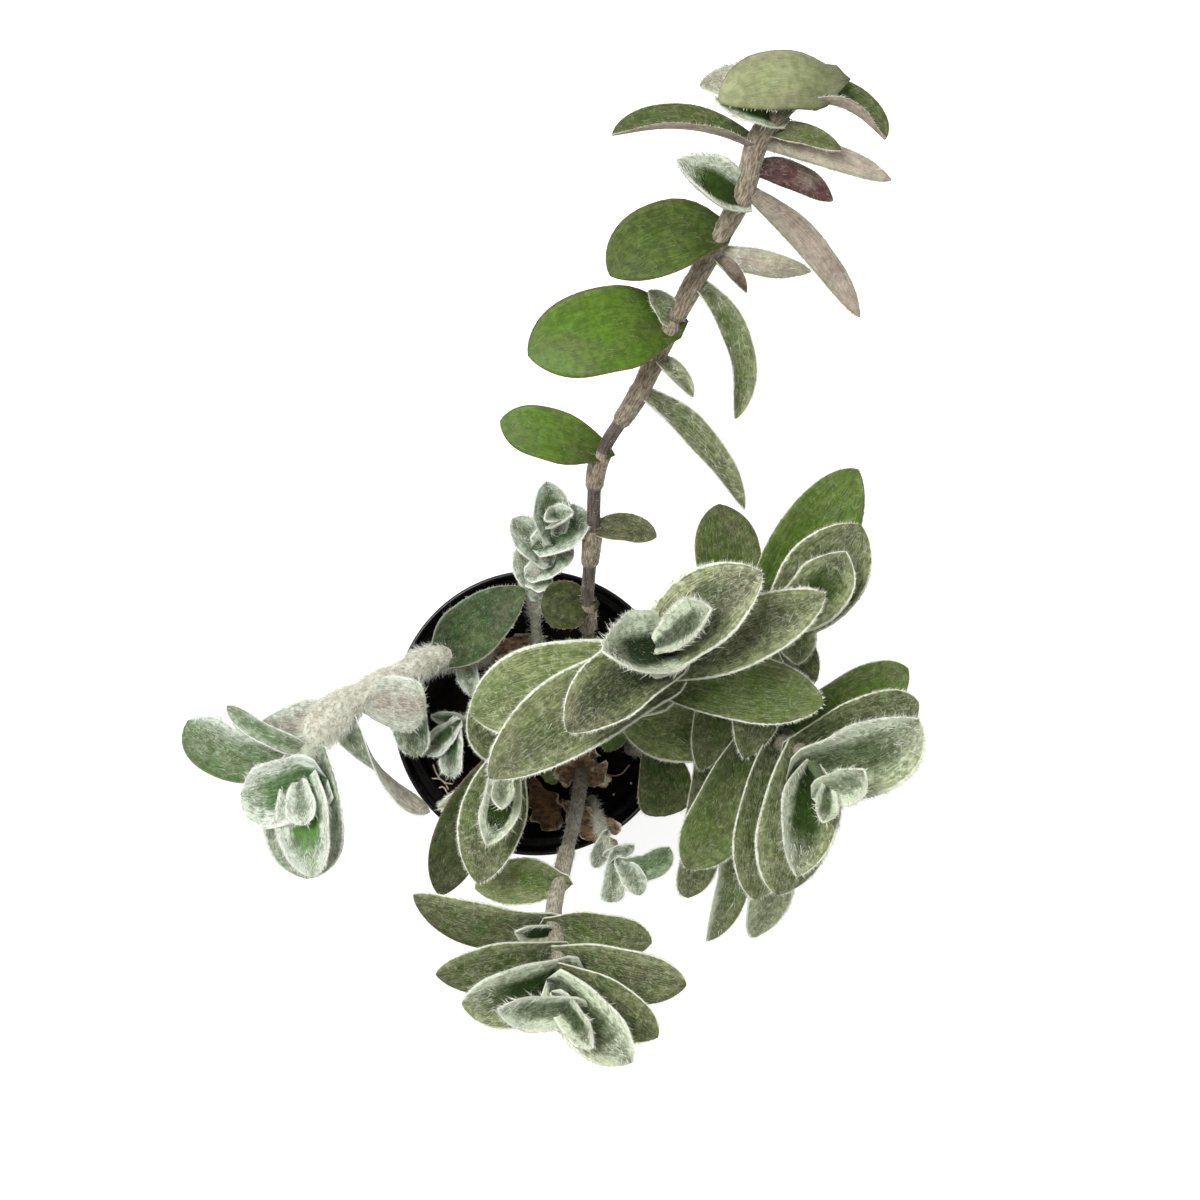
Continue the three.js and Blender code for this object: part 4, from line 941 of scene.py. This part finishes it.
leftSprout = {
    "node": "sprout_left", "slot": "woolly_leaf", "seed": 20, "stemWool": 1.6, "radius": (1.7, 1.3),
    "sheath": 0.4,
    "route": [(-25, -5, 56), (-24, -4, 80), (-27, -3, 88), (-29, -5, 92)],
    "habit": dict(arch=0.05, blunt=2, clasp=0.6, fold=(1, 0.5), wool=0.68, fresh=0.1, deep=0.9),
    "leaves": [
        leaf(30, 167, 36, 13, 6),
        leaf(35, 264, -6, 19, 9, widest=0.6, blunt=3),
        leaf(36, 224, 5, 14, 9, blunt=4),
    ],
}

for shoot in (crownShoot, backRightShoot, rightShoot, frontShoot, frontLeftShoot,
              leftShoot, smallShoot, tallShoot, frontSprig, leftSprout):
    makeShoot(shoot)


# Dead leaves: the same blades, crumpled, each at its own base point
dryHabit = dict(arch=0.1, lift=1, widest=0.45, blunt=4, clasp=0.6, fold=(1, 0.8), crumple=0.6, thin=0.35,
                wave=3)
sheathHabit = dict(dryHabit, arch=-0.1, clasp=0.8, fold=(1.3, 0.9))
frontShootFoot = (16, -19, 78.4)
deadLeaves = {
    "dry_leaf_dark": {"slot": "dry_leaf_brown", "finish": "dryBrown", "seed": 31, "blades": [
        ((-1, -27, 77.6), leaf(0, 298, 2, 17, 12, arch=0.12, clasp=0.5, fold=(-0.8, -0.5)), dryHabit)]},
    "dry_leaf_tan": {"slot": "dry_leaf_tan", "finish": "dryTan", "seed": 32, "blades": [
        ((12, -33, 87), leaf(0, 318, 11, 22, 10, blunt=3, fold=(1.1, 0.9)), dryHabit),
        ((14, -34.5, 87.5), leaf(0, 338, 8, 17, 7, arch=0.12, fold=(1.2, 1.2)), dryHabit)]},
    "dry_sheath_front": {"slot": "dry_leaf_tan", "finish": "dryTan", "seed": 33, "blades": [
        (frontShootFoot, leaf(0, 200, 40, 13, 12), sheathHabit),
        (frontShootFoot, leaf(0, 80, 48, 14, 12), sheathHabit),
        (frontShootFoot, leaf(0, 330, 42, 14, 11), sheathHabit)]},
    "dry_leaf_back": {"slot": "dry_leaf_tan", "finish": "dryTan", "seed": 34, "blades": [
        ((-4, 25, 77.8), leaf(0, 208, 8, 12, 9, arch=0.15, fold=(-1, -0.8)), dryHabit)]},
    "fallen_scrap": {"slot": "fallen_leaf_yellow", "finish": "wiltedYellow", "seed": 35, "blades": [
        ((2, -21, 77.4), leaf(0, 320, 3, 7, 5, blunt=3, fold=(-0.6, -0.4)), dryHabit)]},
}

for node, dead in deadLeaves.items():
    dice = np.random.default_rng(dead["seed"])
    mesh = bmesh.new()
    layers = plantLayers(mesh)
    for base, item, habit in dead["blades"]:
        form = {**habit, **item, "tone": dice.random()}
        growLeaf(mesh, layers, form, bladeFrame(form, np.array(base, float), np.array([0, 0, 1.0])))
    bmeshPiece(node + "_blades", mesh, [mottled[dead["finish"]]], node)
print("dead leaves laid")


# Pot: a wall spun from profiles of (radius, height), and drain holes cut through its floor
potShape = {
    "height": 88, "innerFoot": 33.5, "innerRim": 45.9, "wall": 1.5, "segments": 128,
    "foot": [(0, 0), (33.8, 0), (34.7, 0.3), (35.1, 1.2), (35.8, 6)],
    "outerHeights": (20, 40, 60, 76),
    "collar": [(46.4, 77.4), (48.5, 77.8), (49, 78.4), (49.4, 82), (49.8, 86.2), (50, 87)],
    "lip": [(49.9, 87.6), (49.5, 88), (48.9, 88), (48.5, 87.7), (48.35, 87)],
    "step": [(47.95, 80.9), (47.6, 80.2), (46, 79.3), (44.6, 78.4), (44.35, 77)],
    "innerHeights": (60, 40, 20, 5, 2.6),
    "floor": [(33, 1.9), (32, 1.8), (0, 1.8)],
    "holes": 6, "holeRadius": 3.2, "holeCircle": 23, "holeSides": 32, "cutterDepth": 8,
}


def innerRadius(height):
    foot, rim = potShape["innerFoot"], potShape["innerRim"]
    return foot + (rim - foot) * height / potShape["height"]


def spun(profile, segments):  # a closed solid from a profile of (radius, height)
    mesh = bmesh.new()
    verts = [mesh.verts.new((radius * mm, 0, height * mm)) for radius, height in profile]
    edges = [mesh.edges.new(pair) for pair in zip(verts, verts[1:])]
    bmesh.ops.spin(mesh, geom=verts + edges, axis=(0, 0, 1), cent=(0, 0, 0), angle=2 * math.pi,
                   steps=segments, use_merge=True)
    bmesh.ops.remove_doubles(mesh, verts=mesh.verts, dist=1e-6)
    for face in mesh.faces:
        face.smooth = True
    bmesh.ops.recalc_face_normals(mesh, faces=mesh.faces)
    return mesh


def makePot():
    shape = potShape
    outer = [(innerRadius(h) + shape["wall"], h) for h in shape["outerHeights"]]
    inner = [(innerRadius(h), h) for h in shape["innerHeights"]]
    profile = shape["foot"] + outer + shape["collar"] + shape["lip"] + shape["step"] + inner + shape["floor"]
    mesh = spun(profile, shape["segments"])
    pot = bmeshPiece("pot_wall", mesh, [mottled["glossBlack"]], "pot")
    cutters, radius = bmesh.new(), shape["holeRadius"] * mm
    for turn in range(shape["holes"]):
        angle = 2 * math.pi * turn / shape["holes"]
        made = bmesh.ops.create_cone(cutters, cap_ends=True, segments=shape["holeSides"], radius1=radius,
                                     radius2=radius, depth=shape["cutterDepth"] * mm)
        offset = [c * shape["holeCircle"] * mm for c in (math.cos(angle), math.sin(angle), 0)]
        bmesh.ops.translate(cutters, verts=made["verts"], vec=offset)
    holes = inScene("drainHoles", meshData("drainHoles", cutters))
    cut = pot.modifiers.new("drainHoles", "BOOLEAN")
    cut.operation, cut.object, cut.solver = "DIFFERENCE", holes, "EXACT"
    bpy.context.view_layer.update()
    finished = bpy.data.meshes.new_from_object(pot.evaluated_get(bpy.context.evaluated_depsgraph_get()))
    pot.modifiers.clear()
    pot.data = finished
    bpy.data.objects.remove(holes)


makePot()
print("pot made")


# Soil: peat with a rough top, and loose crumbs, white grains and roots on it
soilShape = {
    "foot": 2.1, "level": 76, "edge": (73.5, 74.2, 74.4), "edgeWidth": 3, "gap": 0.3, "rings": 40,
    "ringCrowding": 0.8, "segments": 160, "swell": 0.9, "roughness": 0.75, "seed": 41, "reach": 42.5,
    "crumbs": 1500, "crumbSize": (0.3, 1.35), "crumbPower": 1.6,
    "grains": 16, "grainSize": (0.5, 0.95), "grainSpots": [(21, -32.4), (23.1, -37), (20, -36), (24.5, -33)],
    "rootRadius": 0.28, "rootRise": 0.4, "rootSides": 6, "rootStep": 1.2,
}
looseRoots = [
    [(-37, -19), (-35.5, -23), (-33, -25.5), (-30, -26)],
    [(-38, -24), (-34, -24.5), (-31.5, -28)],
    [(-36, -28), (-33.5, -27), (-31, -30.5), (-27, -31)],
    [(-15, 22), (-13, 18), (-14, 13), (-11, 9)],
    [(-19, 15), (-15.5, 13), (-12, 14.5)],
    [(22, -20), (26, -23), (30, -22.5), (33, -19)],
]


def soilTop(x, y):
    wave = math.sin(0.31 * x + 1.2) * math.cos(0.27 * y) + 0.6 * math.sin(0.53 * x - 0.47 * y)
    fine = noise.noise(Vector((x, y, 3)) * 0.45) + 0.6 * noise.noise(Vector((x, y, 9)) * 1.3)
    return soilShape["level"] + soilShape["swell"] * wave + soilShape["roughness"] * fine


def makeBead(mesh):
    bmesh.ops.create_icosphere(mesh, subdivisions=1, radius=0.24)
    bmesh.ops.translate(mesh, verts=mesh.verts, vec=(0, 0, 0.25))


def strewn(count, dice):  # spots spread evenly over the soil
    radius, angle = soilShape["reach"] * np.sqrt(dice.random(count)), dice.uniform(0, 2 * math.pi, count)
    return np.stack([radius * np.cos(angle), radius * np.sin(angle)], axis=1)


def scatter(name, spots, sizes, dice, material):  # one rough bead on the soil at each spot
    beads = pile(len(spots), makeBead)
    stretch = dice.uniform(0.5, 1.4, (len(spots), 3))
    turns = dice.uniform(0, 2 * math.pi, len(spots))
    for vert in beads.verts:
        n = int(vert.co.z)
        x, y = spots[n]
        rough = 1 + 0.35 * noise.noise(Vector((n, vert.co.x * 9, vert.co.y * 9)))
        local = Vector((vert.co.x * stretch[n, 0], vert.co.y * stretch[n, 1],
                        (vert.co.z - n - 0.25) * stretch[n, 2])) * (sizes[n] * 4) * rough
        cosine, sine = math.cos(turns[n]), math.sin(turns[n])
        vert.co = Vector((x + local.x * cosine - local.y * sine, y + local.x * sine + local.y * cosine,
                          soilTop(x, y) + local.z)) * mm
    bmeshPiece(name, beads, [material])


def makeSoil():
    shape = soilShape
    low, high, edge = shape["edge"]
    rim = innerRadius(high) - shape["gap"]
    foot = innerRadius(shape["foot"]) - shape["gap"]
    profile = [(0, shape["foot"]), (foot, shape["foot"]), (rim, low), (rim, high)]
    profile += [(rim * (1 - ring / shape["rings"]) ** shape["ringCrowding"], shape["level"])
                for ring in range(1, shape["rings"] + 1)]
    mesh = spun(profile, shape["segments"])
    for vert in mesh.verts:
        if vert.co.z > (high + shape["level"]) / 2 * mm:
            inward = min(1, (rim - vert.co.xy.length / mm) / shape["edgeWidth"])
            vert.co.z = (edge + (soilTop(vert.co.x / mm, vert.co.y / mm) - edge) * inward) * mm
    bmeshPiece("soil_peat", mesh, [mottled["peat"]], "soil")
    dice = np.random.default_rng(shape["seed"])
    crumbs, grains = (strewn(shape[key], dice) for key in ("crumbs", "grains"))
    grains[:len(shape["grainSpots"])] = shape["grainSpots"]
    crumbSizes = dice.uniform(*shape["crumbSize"], len(crumbs)) ** shape["crumbPower"]
    scatter("soil_crumbs", crumbs, crumbSizes, dice, mottled["peat"])
    scatter("soil_perlite", grains, dice.uniform(*shape["grainSize"], len(grains)), dice, mottled["perlite"])
    mesh = bmesh.new()
    layers = plantLayers(mesh)
    for route in looseRoots:
        line = stemLine([(x, y, soilTop(x, y) + shape["rootRise"]) for x, y in route])
        closeTube(mesh, growTube(mesh, layers, line, lambda d: shape["rootRadius"], shape["rootSides"],
                                 shape["rootStep"], material=0)[0])
    bmeshPiece("soil_roots", mesh, [mottled["paleRoot"]])


makeSoil()
print("soil made")


# Floor and studio light. Lamps, in metres and watts: place, size and power.
studio = {"floorSize": 3.0, "sky": 0.3,
          "lamps": [((-0.4, 0.35, 1.2), 0.5, 14.5), ((0.7, -0.5, 0.9), 0.9, 2.5)]}
floorMesh = bmesh.new()
bmesh.ops.create_grid(floorMesh, x_segments=1, y_segments=1, size=studio["floorSize"])
floor = inScene("floor", meshData("floor", floorMesh, [mottled["paleFloor"]]))

world = bpy.data.worlds.new("studio")
world.use_nodes = True
background = world.node_tree.nodes["Background"]
background.inputs["Color"].default_value = (1, 1, 1, 1)
background.inputs["Strength"].default_value = studio["sky"]
bpy.context.scene.world = world
for spot, size, power in studio["lamps"]:
    lamp = bpy.data.lights.new("softbox", "AREA")
    lamp.size, lamp.energy = size, power
    softbox = inScene("softbox", lamp)
    softbox.location = spot
    softbox.rotation_euler = (-Vector(spot)).to_track_quat("-Z", "Y").to_euler()
bpy.context.scene.view_settings.view_transform = "Standard"
print("studio lit")
